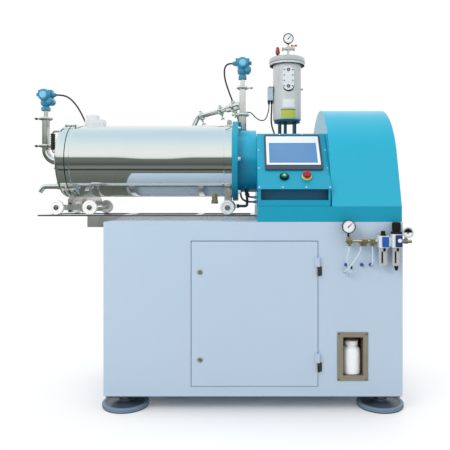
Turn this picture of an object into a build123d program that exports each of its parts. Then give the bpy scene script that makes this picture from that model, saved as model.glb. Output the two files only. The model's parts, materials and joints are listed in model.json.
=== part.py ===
from build123d import *
import math
import os

os.makedirs("parts", exist_ok=True)

# Millimetres. X runs along the shaft towards the belt drive, the operator stands on the -Y side
# and Z is up. The origin is on the floor, under the shaft, at the middle of the cabinet.

# Cabinet
CABINET_WIDTH = 1400.0
CABINET_DEPTH = 900.0
CABINET_BOTTOM = 72.0
CABINET_TOP = 888.0
SHEET = 4.0
LEFT = -CABINET_WIDTH / 2
RIGHT = CABINET_WIDTH / 2
FRONT = -CABINET_DEPTH / 2
BACK = CABINET_DEPTH / 2

# Door in the cabinet front
DOOR_LEFT = -288.0
DOOR_RIGHT = 302.0
DOOR_BOTTOM = 121.0
DOOR_TOP = 797.0
DOOR_GAP = 3.0
DOOR_THICK = 20.0
DOOR_PROUD = 3.0
HINGE_HEIGHTS = (189.0, 637.0)
HINGE_LENGTH = 85.0
HINGE_RADIUS = 6.0
HINGE_PIN_RADIUS = 3.0
HINGE_X = DOOR_RIGHT + 4.0
HINGE_Y = FRONT - 9.0
LOCK_X = -248.0
LOCK_HEIGHTS = (245.0, 654.0)

# Shaft, chamber and neck
SHAFT_Z = 1202.0
CHAMBER_BORE = 150.0
CHAMBER_WALL = 8.0
BARREL_RADIUS = 195.0
BARREL_WALL = 6.0
BARREL_LEFT = -968.0
BARREL_RIGHT = -106.0
COVER_LEFT = -1024.0
RING_PROUD = 4.0
NECK_RING_LEFT = -146.0
FLANGE_LEFT = -105.0
FLANGE_RIGHT = -75.0
FLANGE_RADIUS = 217.0
NECK_RADIUS = 169.0
SHAFT_RADIUS = 45.0
ROTOR_RADIUS = 84.0
PIN_RADIUS = 9.0
PIN_PITCH = 110.0
RUNNING_FIT = 0.05

# Drive end
HOUSING_LEFT = 22.0
HOUSING_RIGHT = 369.0
HOUSING_TOP = 1326.0
GUARD_LEFT = 370.0
GUARD_RIGHT = 697.0
PLINTH_TOP = 960.0
PULLEY_LEFT = 430.0
BELT_PITCH = 19.0
BELT_COUNT = 4
DRIVE_PULLEY_RADIUS = 220.0
MOTOR_PULLEY_RADIUS = 100.0
MOTOR_Z = 400.0

# Rails and trolley
RAIL_TOP = 913.0
RAIL_LEFT = -1109.0
RAIL_Y = 165.0
WHEEL_RADIUS = 37.5
WHEEL_LIFT = 0.3
WHEEL_X = {"left": -1016.0, "middle": -844.0, "right": -130.0}

# Pipework
RISER_X = -1134.0
PIPE_RADIUS = 21.0
NECK_RISER_X = -52.0
TRANSMITTER_Z = {"end": 1479.0, "neck": 1652.0}
SPOUT_Z = 1064.0
SPOUT_RADIUS = 14.0

# Seal fluid tank
TANK_X = 201.0
TANK_Y = 110.0
TANK_RADIUS = 79.5
TANK_BOTTOM = 1440.0
TANK_TOP = 1764.0

# Operator panel, which leans back from the cabinet front
PANEL_BOTTOM = (FRONT, 1043.0)
PANEL_TOP = (-205.0, 1330.0)

# Compressed air unit on the cabinet front
AIR_Y = FRONT - 30.0
AIR_Z = 800.0


def across(x):
    """A plane square to the shaft, with Y and Z as its own axes."""
    return Plane.YZ.offset(x)


def facing(y):
    """A plane square to the operator's view, with X and Z as its own axes, facing the operator."""
    return Plane.XZ.offset(-y)


def level(z):
    """A horizontal plane at a height above the floor."""
    return Plane.XY.offset(z)


def aimed(point, direction):
    """A plane at a point whose normal has a direction."""
    return Plane(origin=point, z_dir=direction)


def bar(plane, at, radius, length, bore=0.0):
    """A round bar, or a tube where it has a bore, standing on a plane."""
    with BuildPart() as piece:
        with BuildSketch(plane):
            with Locations(at):
                Circle(radius)
                if bore:
                    Circle(bore, mode=Mode.SUBTRACT)
        extrude(amount=length)
    return piece.part


def block(plane, low, high, depth, corner=0.0):
    """A flat block between two corners on a plane."""
    width, height = high[0] - low[0], high[1] - low[1]
    with BuildPart() as piece:
        with BuildSketch(plane):
            with Locations((low[0] + width / 2, low[1] + height / 2)):
                if corner:
                    RectangleRounded(width, height, corner)
                else:
                    Rectangle(width, height)
        extrude(amount=depth)
    return piece.part


def prism(plane, outline, depth):
    """A plate with a straight-sided outline on a plane."""
    with BuildPart() as piece:
        with BuildSketch(plane):
            with BuildLine():
                Polyline(*outline, close=True)
            make_face()
        extrude(amount=depth)
    return piece.part


def hexagon(plane, at, flats, length):
    """A hexagon bar, its size given across the flats."""
    with BuildPart() as piece:
        with BuildSketch(plane):
            with Locations(at):
                RegularPolygon(flats / 2, 6, major_radius=False)
        extrude(amount=length)
    return piece.part


def turned(base, outline):
    """A turned piece: an outline of (radius, height) pairs spun round the normal of a plane."""
    section = Plane(origin=base.origin, x_dir=base.x_dir, z_dir=-base.y_dir)
    with BuildPart() as piece:
        with BuildSketch(section):
            with BuildLine():
                Polyline(*outline, close=True)
            make_face()
        revolve(axis=Axis(base.origin, base.z_dir))
    return piece.part


def bent(points, bends, radius, bore=0.0):
    """A pipe along straight runs joined by round bends."""
    with BuildPart() as piece:
        with BuildLine() as path:
            FilletPolyline(*points, radius=bends)
        with BuildSketch(Plane(origin=path.line @ 0, z_dir=path.line % 0)):
            Circle(radius)
            if bore:
                Circle(bore, mode=Mode.SUBTRACT)
        sweep(path=path.line)
    return piece.part


def cord(name, points, diameter):
    """A flexible cord: each corner gets an arc as large as its two runs allow."""
    bends = []
    for before, here, after in zip(points, points[1:], points[2:]):
        way_in = Vector(*here) - Vector(*before)
        way_out = Vector(*after) - Vector(*here)
        half_turn = math.radians(way_in.get_angle(way_out)) / 2
        bends.append(0.45 * min(way_in.length, way_out.length) / math.tan(half_turn))
    with BuildPart() as piece:
        with BuildLine() as path:
            FilletPolyline(*points, radius=bends)
        with BuildSketch(Plane(origin=path.line @ 0, z_dir=path.line % 0)):
            Circle(diameter / 2)
        sweep(path=path.line)
    length = sum(edge.length for edge in path.edges())
    share = piece.part.volume / (length * math.pi * diameter**2 / 4)
    print(f"{name}: length {length:.0f}, least radius {min(bends):.0f}, volume share {share:.4f}")
    print("  radii", " ".join(f"{bend:.0f}" for bend in bends))
    return piece.part


# Cabinet: a welded sheet box on four levelling feet. Its front has the door and bottle openings,
# its roof lets the belts through, and its back has two banks of cooling slots for the motor.
NICHE_LOW = (421.0, 170.0)
NICHE_HIGH = (515.0, 349.0)
NICHE_WALL = 2.0
LIP = 14.0

with BuildPart() as cabinet_shell:
    add(
        block(
            level(CABINET_BOTTOM),
            (LEFT, FRONT),
            (RIGHT, BACK),
            CABINET_TOP - CABINET_BOTTOM,
        )
    )
    add(
        block(
            level(CABINET_BOTTOM + SHEET),
            (LEFT + SHEET, FRONT + SHEET),
            (RIGHT - SHEET, BACK - SHEET),
            CABINET_TOP - CABINET_BOTTOM - 2 * SHEET,
        ),
        mode=Mode.SUBTRACT,
    )
    add(
        block(
            facing(FRONT + SHEET + LIP),
            (DOOR_LEFT - DOOR_GAP - SHEET, DOOR_BOTTOM - DOOR_GAP - SHEET),
            (DOOR_RIGHT + DOOR_GAP + SHEET, DOOR_TOP + DOOR_GAP + SHEET),
            LIP,
        )
    )
    add(
        block(
            facing(FRONT + SHEET + LIP + 1),
            (DOOR_LEFT - DOOR_GAP, DOOR_BOTTOM - DOOR_GAP),
            (DOOR_RIGHT + DOOR_GAP, DOOR_TOP + DOOR_GAP),
            SHEET + LIP + 2,
        ),
        mode=Mode.SUBTRACT,
    )
    add(
        block(
            facing(FRONT + SHEET + 1),
            (NICHE_LOW[0] - NICHE_WALL - 0.5, NICHE_LOW[1] - NICHE_WALL - 0.5),
            (NICHE_HIGH[0] + NICHE_WALL + 0.5, NICHE_HIGH[1] + NICHE_WALL + 0.5),
            SHEET + 2,
        ),
        mode=Mode.SUBTRACT,
    )
    add(block(level(CABINET_TOP - SHEET - 1), (400, -260), (640, 260), SHEET + 2), mode=Mode.SUBTRACT)
    with BuildSketch(facing(BACK + 1)):
        for bank in (-330.0, 330.0):
            with Locations((bank, 480)):
                with GridLocations(1, 46, 1, 8):
                    SlotOverall(220, 14)
    extrude(amount=SHEET + 2, mode=Mode.SUBTRACT)
    for rail in (-190.0, 190.0):
        add(block(level(CABINET_BOTTOM + SHEET), (-360, rail - 40), (330, rail + 40), 74))
cabinet_shell.part.label = "cabinet_shell"
export_step(cabinet_shell.part, "parts/cabinet_shell.step")

# Levelling feet: a broad round pad of steel over rubber, and a screwed spindle with its lock nut
# under a welded mounting plate.
FOOT_X = 613.0
FOOT_Y = 368.0
PAD_RADIUS = 111.0
PAD_TOP = 38.0

with BuildPart() as foot_pads:
    for x in (-FOOT_X, FOOT_X):
        for y in (-FOOT_Y, FOOT_Y):
            add(
                turned(
                    aimed((x, y, 0), (0, 0, 1)),
                    [
                        (0, 0),
                        (PAD_RADIUS - 3, 0),
                        (PAD_RADIUS, 3),
                        (PAD_RADIUS, 20),
                        (PAD_RADIUS - 3, 24),
                        (PAD_RADIUS - 11, 24),
                        (PAD_RADIUS - 19, 20),
                        (60, 22),
                        (38, 27),
                        (33, 30),
                        (30, PAD_TOP),
                        (0, PAD_TOP),
                    ],
                )
            )
foot_pads.part.label = "foot_pads"
export_step(foot_pads.part, "parts/foot_pads.step")

with BuildPart() as foot_spindles:
    for x in (-FOOT_X, FOOT_X):
        for y in (-FOOT_Y, FOOT_Y):
            add(bar(level(PAD_TOP), (x, y), 12, CABINET_BOTTOM - 6 - PAD_TOP))
            add(hexagon(level(PAD_TOP), (x, y), 41, 12))
            inward = x + 9 * math.copysign(1, -x)
            add(
                block(
                    level(CABINET_BOTTOM - 6),
                    (inward - 86, y - 80),
                    (inward + 86, y + 80),
                    6,
                )
            )
foot_spindles.part.label = "foot_spindles"
export_step(foot_spindles.part, "parts/foot_spindles.step")

# Door: a folded tray that stands a little proud of the cabinet, on two weld-on barrel hinges with
# fixed pins, and two quarter-turn locks whose tongues reach behind the folded edge.
with BuildPart() as door_hinges:
    for z in HINGE_HEIGHTS:
        half = HINGE_LENGTH / 2
        add(bar(level(z), (HINGE_X, HINGE_Y), HINGE_RADIUS, half - 0.5))
        add(
            bar(
                level(z),
                (HINGE_X, HINGE_Y),
                HINGE_PIN_RADIUS,
                HINGE_LENGTH - 4,
            )
        )
        add(
            block(
                level(z),
                (HINGE_X, FRONT - 4),
                (HINGE_X + 16, FRONT),
                half - 0.5,
            )
        )
        add(
            block(
                level(z),
                (HINGE_X - 1, HINGE_Y),
                (HINGE_X + HINGE_RADIUS, FRONT - 1),
                half - 0.5,
            )
        )
door_hinges.part.label = "door_hinges"
export_step(door_hinges.part, "parts/door_hinges.step")

with BuildPart() as cabinet_door:
    add(
        block(
            facing(FRONT - DOOR_PROUD + DOOR_THICK),
            (DOOR_LEFT, DOOR_BOTTOM),
            (DOOR_RIGHT, DOOR_TOP),
            DOOR_THICK,
            corner=1.5,
        )
    )
    add(
        block(
            facing(FRONT - DOOR_PROUD + DOOR_THICK),
            (DOOR_LEFT + 3, DOOR_BOTTOM + 3),
            (DOOR_RIGHT - 3, DOOR_TOP - 3),
            DOOR_THICK - 3,
        ),
        mode=Mode.SUBTRACT,
    )
    for z in HINGE_HEIGHTS:
        knuckle = z + HINGE_LENGTH / 2
        add(bar(level(knuckle), (HINGE_X, HINGE_Y), HINGE_RADIUS, HINGE_LENGTH / 2))
        add(
            block(
                level(knuckle),
                (DOOR_RIGHT - 12, HINGE_Y - 1),
                (HINGE_X - 2, FRONT - DOOR_PROUD),
                HINGE_LENGTH / 2,
            )
        )
        add(
            bar(
                level(knuckle - 1),
                (HINGE_X, HINGE_Y),
                HINGE_PIN_RADIUS + RUNNING_FIT,
                HINGE_LENGTH / 2 - 2,
            ),
            mode=Mode.SUBTRACT,
        )
    for z in LOCK_HEIGHTS:
        add(
            bar(facing(FRONT + 1), (LOCK_X, z), 9 + RUNNING_FIT, 6),
            mode=Mode.SUBTRACT,
        )
cabinet_door.part.label = "cabinet_door"
export_step(cabinet_door.part, "parts/cabinet_door.step")


def quarter_turn_lock(z):
    """A lock barrel with a slotted head outside the door and a tongue behind it, unlocked."""
    door_face = FRONT - DOOR_PROUD
    tongue_y = FRONT + SHEET + LIP + 3
    with BuildPart() as piece:
        add(bar(facing(tongue_y), (LOCK_X, z), 9, tongue_y - door_face))
        add(
            turned(
                aimed((LOCK_X, door_face, z), (0, -1, 0)),
                [(0, 0), (12.5, 0), (12.5, 3), (10.5, 5), (0, 5)],
            )
        )
        add(bar(facing(door_face - 4), (LOCK_X, z), 6, 2), mode=Mode.SUBTRACT)
        slot = block(facing(door_face - 3), (LOCK_X - 1.5, z - 9), (LOCK_X + 1.5, z + 9), 4)
        add(slot, mode=Mode.SUBTRACT)
        add(block(facing(tongue_y + 3), (LOCK_X - 9, z - 9), (LOCK_X + 9, z + 60), 3, corner=4))
    return piece.part


with BuildPart() as door_lock_lower:
    add(quarter_turn_lock(LOCK_HEIGHTS[0]))
door_lock_lower.part.label = "door_lock_lower"
export_step(door_lock_lower.part, "parts/door_lock_lower.step")

with BuildPart() as door_lock_upper:
    add(quarter_turn_lock(LOCK_HEIGHTS[1]))
door_lock_upper.part.label = "door_lock_upper"
export_step(door_lock_upper.part, "parts/door_lock_upper.step")

# Bottle niche: a stainless box let into the cabinet front behind a screwed frame. It holds a
# wide-necked bottle that slides out towards the operator.
NICHE_DEPTH = 108.0
FRAME_LOW = (393.0, 145.0)
FRAME_HIGH = (538.0, 373.0)
BOTTLE_X = 468.0
BOTTLE_Y = FRONT + 49
BOTTLE_RADIUS = 43.5
BOTTLE_NECK = 26.0

with BuildPart() as niche_box:
    add(block(facing(FRONT), FRAME_LOW, FRAME_HIGH, 3, corner=3))
    add(
        block(
            facing(FRONT + NICHE_DEPTH),
            (NICHE_LOW[0] - NICHE_WALL, NICHE_LOW[1] - NICHE_WALL),
            (NICHE_HIGH[0] + NICHE_WALL, NICHE_HIGH[1] + NICHE_WALL),
            NICHE_DEPTH,
        )
    )
    add(
        block(facing(FRONT + NICHE_DEPTH - NICHE_WALL), NICHE_LOW, NICHE_HIGH, NICHE_DEPTH + 5),
        mode=Mode.SUBTRACT,
    )
niche_box.part.label = "niche_box"
export_step(niche_box.part, "parts/niche_box.step")

bottle_base = aimed((BOTTLE_X, BOTTLE_Y, NICHE_LOW[1]), (0, 0, 1))
with BuildPart() as bottle:
    add(
        turned(
            bottle_base,
            [
                (0, 0),
                (BOTTLE_RADIUS - 3, 0),
                (BOTTLE_RADIUS, 3),
                (BOTTLE_RADIUS, 108),
                (BOTTLE_RADIUS - 2, 116),
                (BOTTLE_RADIUS - 8, 123),
                (BOTTLE_NECK + 4, 128),
                (BOTTLE_NECK, 131),
                (BOTTLE_NECK, 148),
                (BOTTLE_NECK - 2, 148),
                (BOTTLE_NECK - 2, 129),
                (BOTTLE_RADIUS - 9, 120),
                (BOTTLE_RADIUS - 2, 106),
                (BOTTLE_RADIUS - 2, 2),
                (0, 2),
            ],
        )
    )
bottle.part.label = "bottle"
export_step(bottle.part, "parts/bottle.step")

with BuildPart() as bottle_cap:
    with BuildSketch(level(NICHE_LOW[1] + 132)):
        with Locations((BOTTLE_X, BOTTLE_Y)):
            Circle(30)
            with PolarLocations(30, 24):
                Rectangle(2.4, 3)
    extrude(amount=20)
    add(
        turned(
            aimed((BOTTLE_X, BOTTLE_Y, NICHE_LOW[1] + 152), (0, 0, 1)),
            [(0, 0), (30, 0), (27, 3), (0, 3)],
        )
    )
    add(
        bar(level(NICHE_LOW[1] + 131), (BOTTLE_X, BOTTLE_Y), BOTTLE_NECK + RUNNING_FIT, 18),
        mode=Mode.SUBTRACT,
    )
bottle_cap.part.label = "bottle_cap"
export_step(bottle_cap.part, "parts/bottle_cap.step")

# Plinth, bearing housing and neck: painted steel that carries the shaft. The plinth is a folded
# tray on the cabinet roof, and the neck is a turned flange to which the barrel is bolted.
with BuildPart() as base_plinth:
    add(block(level(CABINET_TOP), (HOUSING_LEFT, FRONT), (GUARD_RIGHT, BACK), PLINTH_TOP - CABINET_TOP))
    add(
        block(
            level(CABINET_TOP - 1),
            (HOUSING_LEFT + SHEET, FRONT + SHEET),
            (GUARD_RIGHT - SHEET, BACK - SHEET),
            PLINTH_TOP - CABINET_TOP - SHEET + 1,
        ),
        mode=Mode.SUBTRACT,
    )
    add(block(level(PLINTH_TOP - SHEET - 1), (400, -260), (640, 260), SHEET + 2), mode=Mode.SUBTRACT)
base_plinth.part.label = "base_plinth"
export_step(base_plinth.part, "parts/base_plinth.step")

HOUSING_FRONT = -200.0
HOUSING_BACK = 300.0
HOUSING_WALL = 12.0
BEARING_RADIUS = 95.0
BEARING_SPANS = ((HOUSING_LEFT + 8, 46.0), (HOUSING_RIGHT - 54, 46.0))

with BuildPart() as bearing_housing:
    add(
        block(
            level(PLINTH_TOP),
            (HOUSING_LEFT, HOUSING_FRONT),
            (HOUSING_RIGHT, HOUSING_BACK),
            HOUSING_TOP - PLINTH_TOP,
        )
    )
    add(
        block(
            level(PLINTH_TOP + HOUSING_WALL),
            (HOUSING_LEFT + HOUSING_WALL, HOUSING_FRONT + HOUSING_WALL),
            (HOUSING_RIGHT - HOUSING_WALL, HOUSING_BACK - HOUSING_WALL),
            HOUSING_TOP - PLINTH_TOP - 2 * HOUSING_WALL,
        ),
        mode=Mode.SUBTRACT,
    )
    for start, width in BEARING_SPANS:
        add(bar(across(start), (0, SHAFT_Z), BEARING_RADIUS + 14, width))
        add(bar(across(start), (0, SHAFT_Z), BEARING_RADIUS, width), mode=Mode.SUBTRACT)
    add(
        bar(across(HOUSING_LEFT - 1), (0, SHAFT_Z), 66, HOUSING_RIGHT - HOUSING_LEFT + 2),
        mode=Mode.SUBTRACT,
    )
    add(turned(aimed((HOUSING_LEFT, 238, 1172), (-1, 0, 0)), [(0, 0), (11, 0), (11, 10), (7, 22), (0, 22)]))
    for y, z in ((-62.0, 979.0), (-96.0, 1004.0)):
        add(bar(across(HOUSING_LEFT - 14), (y, z), 8, 14))
    add(turned(aimed((130, 106, HOUSING_TOP), (0, 0, 1)), [(0, 0), (9, 0), (9, 8), (5, 14), (0, 14)]))
bearing_housing.part.label = "bearing_housing"
export_step(bearing_housing.part, "parts/bearing_housing.step")

SEAL_RADIUS = 95.0
SOCKET_Y = 235.0
SOCKET_Z = 1150.0
SEAL_STUBS = ((-62.0, -60.0), (-36.0, -96.0))
FLANGE_BOLT_CIRCLE = 194.0
LEAK_X = -27.0
LEAK_Y = -20.0
LEAK_Z = 956.0
LEAK_RADIUS = 7.5


def stub_end(y):
    """The height at which a hose stub under the neck ends."""
    return SHAFT_Z - math.sqrt(NECK_RADIUS**2 - y**2) - 12


with BuildPart() as neck_flange:
    add(
        turned(
            aimed((FLANGE_LEFT, 0, SHAFT_Z), (1, 0, 0)),
            [
                (SEAL_RADIUS, 0),
                (FLANGE_RADIUS - 2, 0),
                (FLANGE_RADIUS, 2),
                (FLANGE_RADIUS, 28),
                (FLANGE_RADIUS - 2, 30),
                (NECK_RADIUS, 30),
                (NECK_RADIUS, HOUSING_LEFT - FLANGE_LEFT),
                (NECK_RADIUS - 14, HOUSING_LEFT - FLANGE_LEFT),
                (NECK_RADIUS - 14, 30),
                (SEAL_RADIUS, 30),
            ],
        )
    )
    add(block(across(FLANGE_LEFT + 4), (195, SOCKET_Z - 22), (SOCKET_Y + 22, SOCKET_Z + 22), 6, corner=4))
    add(bar(across(FLANGE_LEFT + 4), (SOCKET_Y, SOCKET_Z), 15, 26))
    for x, y in SEAL_STUBS:
        add(bar(level(stub_end(y)), (x, y), 8, 20))
    add(bar(level(SHAFT_Z + NECK_RADIUS - 6), (NECK_RISER_X, 0), PIPE_RADIUS + 3, 12))
    with BuildSketch(across(FLANGE_RIGHT)):
        with Locations((0, SHAFT_Z)):
            with PolarLocations(FLANGE_BOLT_CIRCLE, 6):
                RegularPolygon(11, 6)
    extrude(amount=14)
    leak_top = SHAFT_Z - NECK_RADIUS + 6
    leak_run = [(LEAK_X, LEAK_Y, leak_top), (LEAK_X, LEAK_Y, LEAK_Z), (LEAK_X - 46, LEAK_Y, LEAK_Z)]
    add(bent(leak_run, 12, LEAK_RADIUS))
    add(hexagon(level(leak_top - 26), (LEAK_X, LEAK_Y), 24, 14))
    add(hexagon(across(LEAK_X - 58), (LEAK_Y, LEAK_Z), 22, 14))
neck_flange.part.label = "neck_flange"
export_step(neck_flange.part, "parts/neck_flange.step")

# Operator console: a sheet box with a leaning front, a shadow recess below it, the touch panel,
# a start button and a mushroom stop button.
panel_up = Vector(0, PANEL_TOP[0] - PANEL_BOTTOM[0], PANEL_TOP[1] - PANEL_BOTTOM[1])
panel = Plane(
    origin=((HOUSING_LEFT + HOUSING_RIGHT) / 2, PANEL_BOTTOM[0], PANEL_BOTTOM[1]),
    x_dir=(1, 0, 0),
    z_dir=Vector(1, 0, 0).cross(panel_up),
)
CHEEK = 15.0
LIP_Z = 1038.0
LIP_SETBACK = 5.0
START_AT = (-46.0, 75.0)
ESTOP_AT = (61.0, 75.0)

with BuildPart() as console_box:
    add(
        prism(
            across(HOUSING_LEFT),
            [
                (FRONT + LIP_SETBACK, PLINTH_TOP),
                (FRONT + LIP_SETBACK, LIP_Z),
                (FRONT, LIP_Z),
                PANEL_BOTTOM,
                PANEL_TOP,
                (HOUSING_FRONT, PANEL_TOP[1]),
                (HOUSING_FRONT, PLINTH_TOP),
            ],
            HOUSING_RIGHT - HOUSING_LEFT,
        )
    )
    for x in (HOUSING_LEFT - LIP_SETBACK, HOUSING_RIGHT - LIP_SETBACK):
        low, high = (x, FRONT - 1), (x + 2 * LIP_SETBACK, HOUSING_FRONT + 1)
        add(block(level(PLINTH_TOP - 1), low, high, LIP_Z - PLINTH_TOP + 1), mode=Mode.SUBTRACT)
    add(
        block(
            level(990),
            (HOUSING_LEFT + CHEEK, FRONT - 1),
            (HOUSING_RIGHT - CHEEK, FRONT + 45),
            51,
        ),
        mode=Mode.SUBTRACT,
    )
    add(
        prism(
            across(HOUSING_LEFT + 2 * LIP_SETBACK),
            [
                (FRONT + 50, PLINTH_TOP + 3),
                (FRONT + 50, 1060),
                (HOUSING_FRONT - 12, PANEL_TOP[1] - 16),
                (HOUSING_FRONT - 3, PANEL_TOP[1] - 16),
                (HOUSING_FRONT - 3, PLINTH_TOP + 3),
            ],
            HOUSING_RIGHT - HOUSING_LEFT - 4 * LIP_SETBACK,
        ),
        mode=Mode.SUBTRACT,
    )
    add(bar(panel, START_AT, 20, 10))
    add(bar(panel, START_AT, 15.3, 11), mode=Mode.SUBTRACT)
    add(bar(panel, ESTOP_AT, 25, 4))
    for at in (START_AT, ESTOP_AT):
        add(bar(panel.offset(-60), at, 8.3, 70), mode=Mode.SUBTRACT)
console_box.part.label = "console_box"
export_step(console_box.part, "parts/console_box.step")

HMI_WIDTH = 281.0
HMI_LOW = 117.0
HMI_HEIGHT = 245.0

with BuildPart() as hmi_panel:
    with BuildSketch(panel):
        with Locations((4, HMI_LOW + HMI_HEIGHT / 2)):
            RectangleRounded(HMI_WIDTH, HMI_HEIGHT, 8)
    extrude(amount=9)
    chamfer(hmi_panel.faces().sort_by(Axis(panel.origin, panel.z_dir))[-1].edges(), 2)
    with BuildSketch(panel.offset(9)):
        with Locations((4, HMI_LOW + HMI_HEIGHT / 2 + 9)):
            Rectangle(244, 196)
    extrude(amount=-1.5, mode=Mode.SUBTRACT)
hmi_panel.part.label = "hmi_panel"
export_step(hmi_panel.part, "parts/hmi_panel.step")


def on_panel(at):
    """A plane on the console face, centred on a control."""
    return Plane(origin=panel.from_local_coords(Vector(*at, 0)), x_dir=panel.x_dir, z_dir=panel.z_dir)


with BuildPart() as start_button:
    add(
        turned(
            on_panel(START_AT),
            [(0, -18), (8, -18), (8, 6), (14.8, 6), (14.8, 14), (12.5, 16), (0, 16)],
        )
    )
start_button.part.label = "start_button"
export_step(start_button.part, "parts/start_button.step")

with BuildPart() as estop_button:
    add(
        turned(
            on_panel(ESTOP_AT),
            [
                (0, -18),
                (8, -18),
                (8, 10.5),
                (16, 10.5),
                (20, 14),
                (20, 22),
                (18, 26),
                (12, 29),
                (0, 30),
            ],
        )
    )
estop_button.part.label = "estop_button"
export_step(estop_button.part, "parts/estop_button.step")

# Belt guard: an arched sheet cover over the large pulley, closed at both ends and open below.
GUARD_ARC_RADIUS = 385.5
GUARD_CREST = 1475.0
GUARD_SHEET = 3.0


def arched_block(start, length, thinner):
    """A block with the guard's section: straight flanks that run smoothly into a round crest."""
    centre = Vector(0, GUARD_CREST - GUARD_ARC_RADIUS)
    radius = GUARD_ARC_RADIUS - thinner
    corner = Vector(BACK - thinner, PLINTH_TOP)
    reach = corner - centre
    rise = math.atan2(reach.Y, reach.X) + math.acos(radius / reach.length)
    side = (radius * math.cos(rise), centre.Y + radius * math.sin(rise))
    with BuildPart() as piece:
        with BuildSketch(across(start)):
            with BuildLine():
                Line((-corner.X, PLINTH_TOP), (corner.X, PLINTH_TOP))
                Line((corner.X, PLINTH_TOP), side)
                ThreePointArc(side, (0, centre.Y + radius), (-side[0], side[1]))
                Line((-side[0], side[1]), (-corner.X, PLINTH_TOP))
            make_face()
        extrude(amount=length)
    return piece.part


with BuildPart() as belt_guard:
    add(arched_block(GUARD_LEFT, GUARD_RIGHT - GUARD_LEFT, 0))
    add(
        arched_block(GUARD_LEFT + GUARD_SHEET, GUARD_RIGHT - GUARD_LEFT - 2 * GUARD_SHEET, GUARD_SHEET),
        mode=Mode.SUBTRACT,
    )
    add(bar(across(GUARD_LEFT - 1), (0, SHAFT_Z), 66, GUARD_SHEET + 2), mode=Mode.SUBTRACT)
belt_guard.part.label = "belt_guard"
export_step(belt_guard.part, "parts/belt_guard.step")

# Belt drive: a ribbed motor on rails inside the cabinet, two grooved pulleys and four V-belts
# that run up through the cabinet roof. The large pulley has a web with lightening holes.
MOTOR_LEFT = -330.0
MOTOR_RIGHT = 330.0
MOTOR_RADIUS = 190.0
MOTOR_BASE = CABINET_BOTTOM + SHEET + 74
MOTOR_SHAFT = 30.0
GROOVE_HALF = 8.8
GROOVE_DEPTH = 18.0
GROOVE_SLOPE = math.tan(math.radians(19))
PULLEY_EDGE = 12.5
PULLEY_WIDTH = 2 * PULLEY_EDGE + (BELT_COUNT - 1) * BELT_PITCH

with BuildPart() as motor:
    with BuildSketch(across(MOTOR_LEFT + 130)):
        with Locations((0, MOTOR_Z)):
            Circle(MOTOR_RADIUS - 25)
            with PolarLocations(MOTOR_RADIUS - 20, 20, start_angle=9):
                Rectangle(40, 5)
    extrude(amount=MOTOR_RIGHT - MOTOR_LEFT - 190)
    add(bar(across(MOTOR_LEFT), (0, MOTOR_Z), MOTOR_RADIUS - 6, 130))
    add(
        turned(
            aimed((MOTOR_RIGHT - 60, 0, MOTOR_Z), (1, 0, 0)),
            [(0, 0), (MOTOR_RADIUS, 0), (MOTOR_RADIUS, 25), (120, 40), (70, 60), (0, 60)],
        )
    )
    add(
        bar(across(MOTOR_RIGHT - 50), (0, MOTOR_Z), MOTOR_SHAFT + RUNNING_FIT, 60),
        mode=Mode.SUBTRACT,
    )
    add(bar(across(MOTOR_LEFT + 140), (0, MOTOR_Z), 130, MOTOR_RIGHT - MOTOR_LEFT - 210), mode=Mode.SUBTRACT)
    for y in (-190.0, 190.0):
        add(block(level(MOTOR_BASE), (MOTOR_LEFT + 160, y - 35), (MOTOR_RIGHT - 90, y + 35), 26))
        side = math.copysign(1, y)
        add(
            prism(
                across(MOTOR_LEFT + 180),
                [
                    (y - 25 * side, MOTOR_BASE + 20),
                    (y + 5 * side, MOTOR_BASE + 20),
                    (150 * side, MOTOR_Z - 40),
                    (100 * side, MOTOR_Z - 100),
                ],
                350,
            )
        )
    add(block(level(MOTOR_Z + MOTOR_RADIUS - 40), (-90, -75), (90, 75), 110, corner=10))
motor.part.label = "motor"
export_step(motor.part, "parts/motor.step")


def pulley_outline(radius, bore, hub_radius, web):
    """Half the section of a grooved pulley, from its bore outwards."""
    points = [(bore, 0), (radius, 0)]
    for groove in range(BELT_COUNT):
        middle = PULLEY_EDGE + groove * BELT_PITCH
        floor = GROOVE_HALF - GROOVE_DEPTH * GROOVE_SLOPE
        points.append((radius, middle - GROOVE_HALF))
        points.append((radius - GROOVE_DEPTH, middle - floor))
        points.append((radius - GROOVE_DEPTH, middle + floor))
        points.append((radius, middle + GROOVE_HALF))
    points.append((radius, PULLEY_WIDTH))
    if web:
        rim = radius - GROOVE_DEPTH - 14
        points.extend([(rim, PULLEY_WIDTH), (rim, PULLEY_WIDTH / 2 + web)])
        points.extend([(hub_radius, PULLEY_WIDTH / 2 + web), (hub_radius, PULLEY_WIDTH)])
    points.append((bore, PULLEY_WIDTH))
    if web:
        points.insert(1, (hub_radius, 0))
        points.insert(2, (hub_radius, PULLEY_WIDTH / 2 - web))
        points.insert(3, (rim, PULLEY_WIDTH / 2 - web))
        points.insert(4, (rim, 0))
    return points


with BuildPart() as drive_pulley:
    add(
        turned(
            aimed((PULLEY_LEFT, 0, SHAFT_Z), (1, 0, 0)),
            pulley_outline(DRIVE_PULLEY_RADIUS, SHAFT_RADIUS - 5, 72, 9),
        )
    )
    with BuildSketch(across(PULLEY_LEFT)):
        with Locations((0, SHAFT_Z)):
            with PolarLocations(128, 6):
                Circle(30)
    extrude(amount=PULLEY_WIDTH, mode=Mode.SUBTRACT)
drive_pulley.part.label = "drive_pulley"
export_step(drive_pulley.part, "parts/drive_pulley.step")

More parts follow.
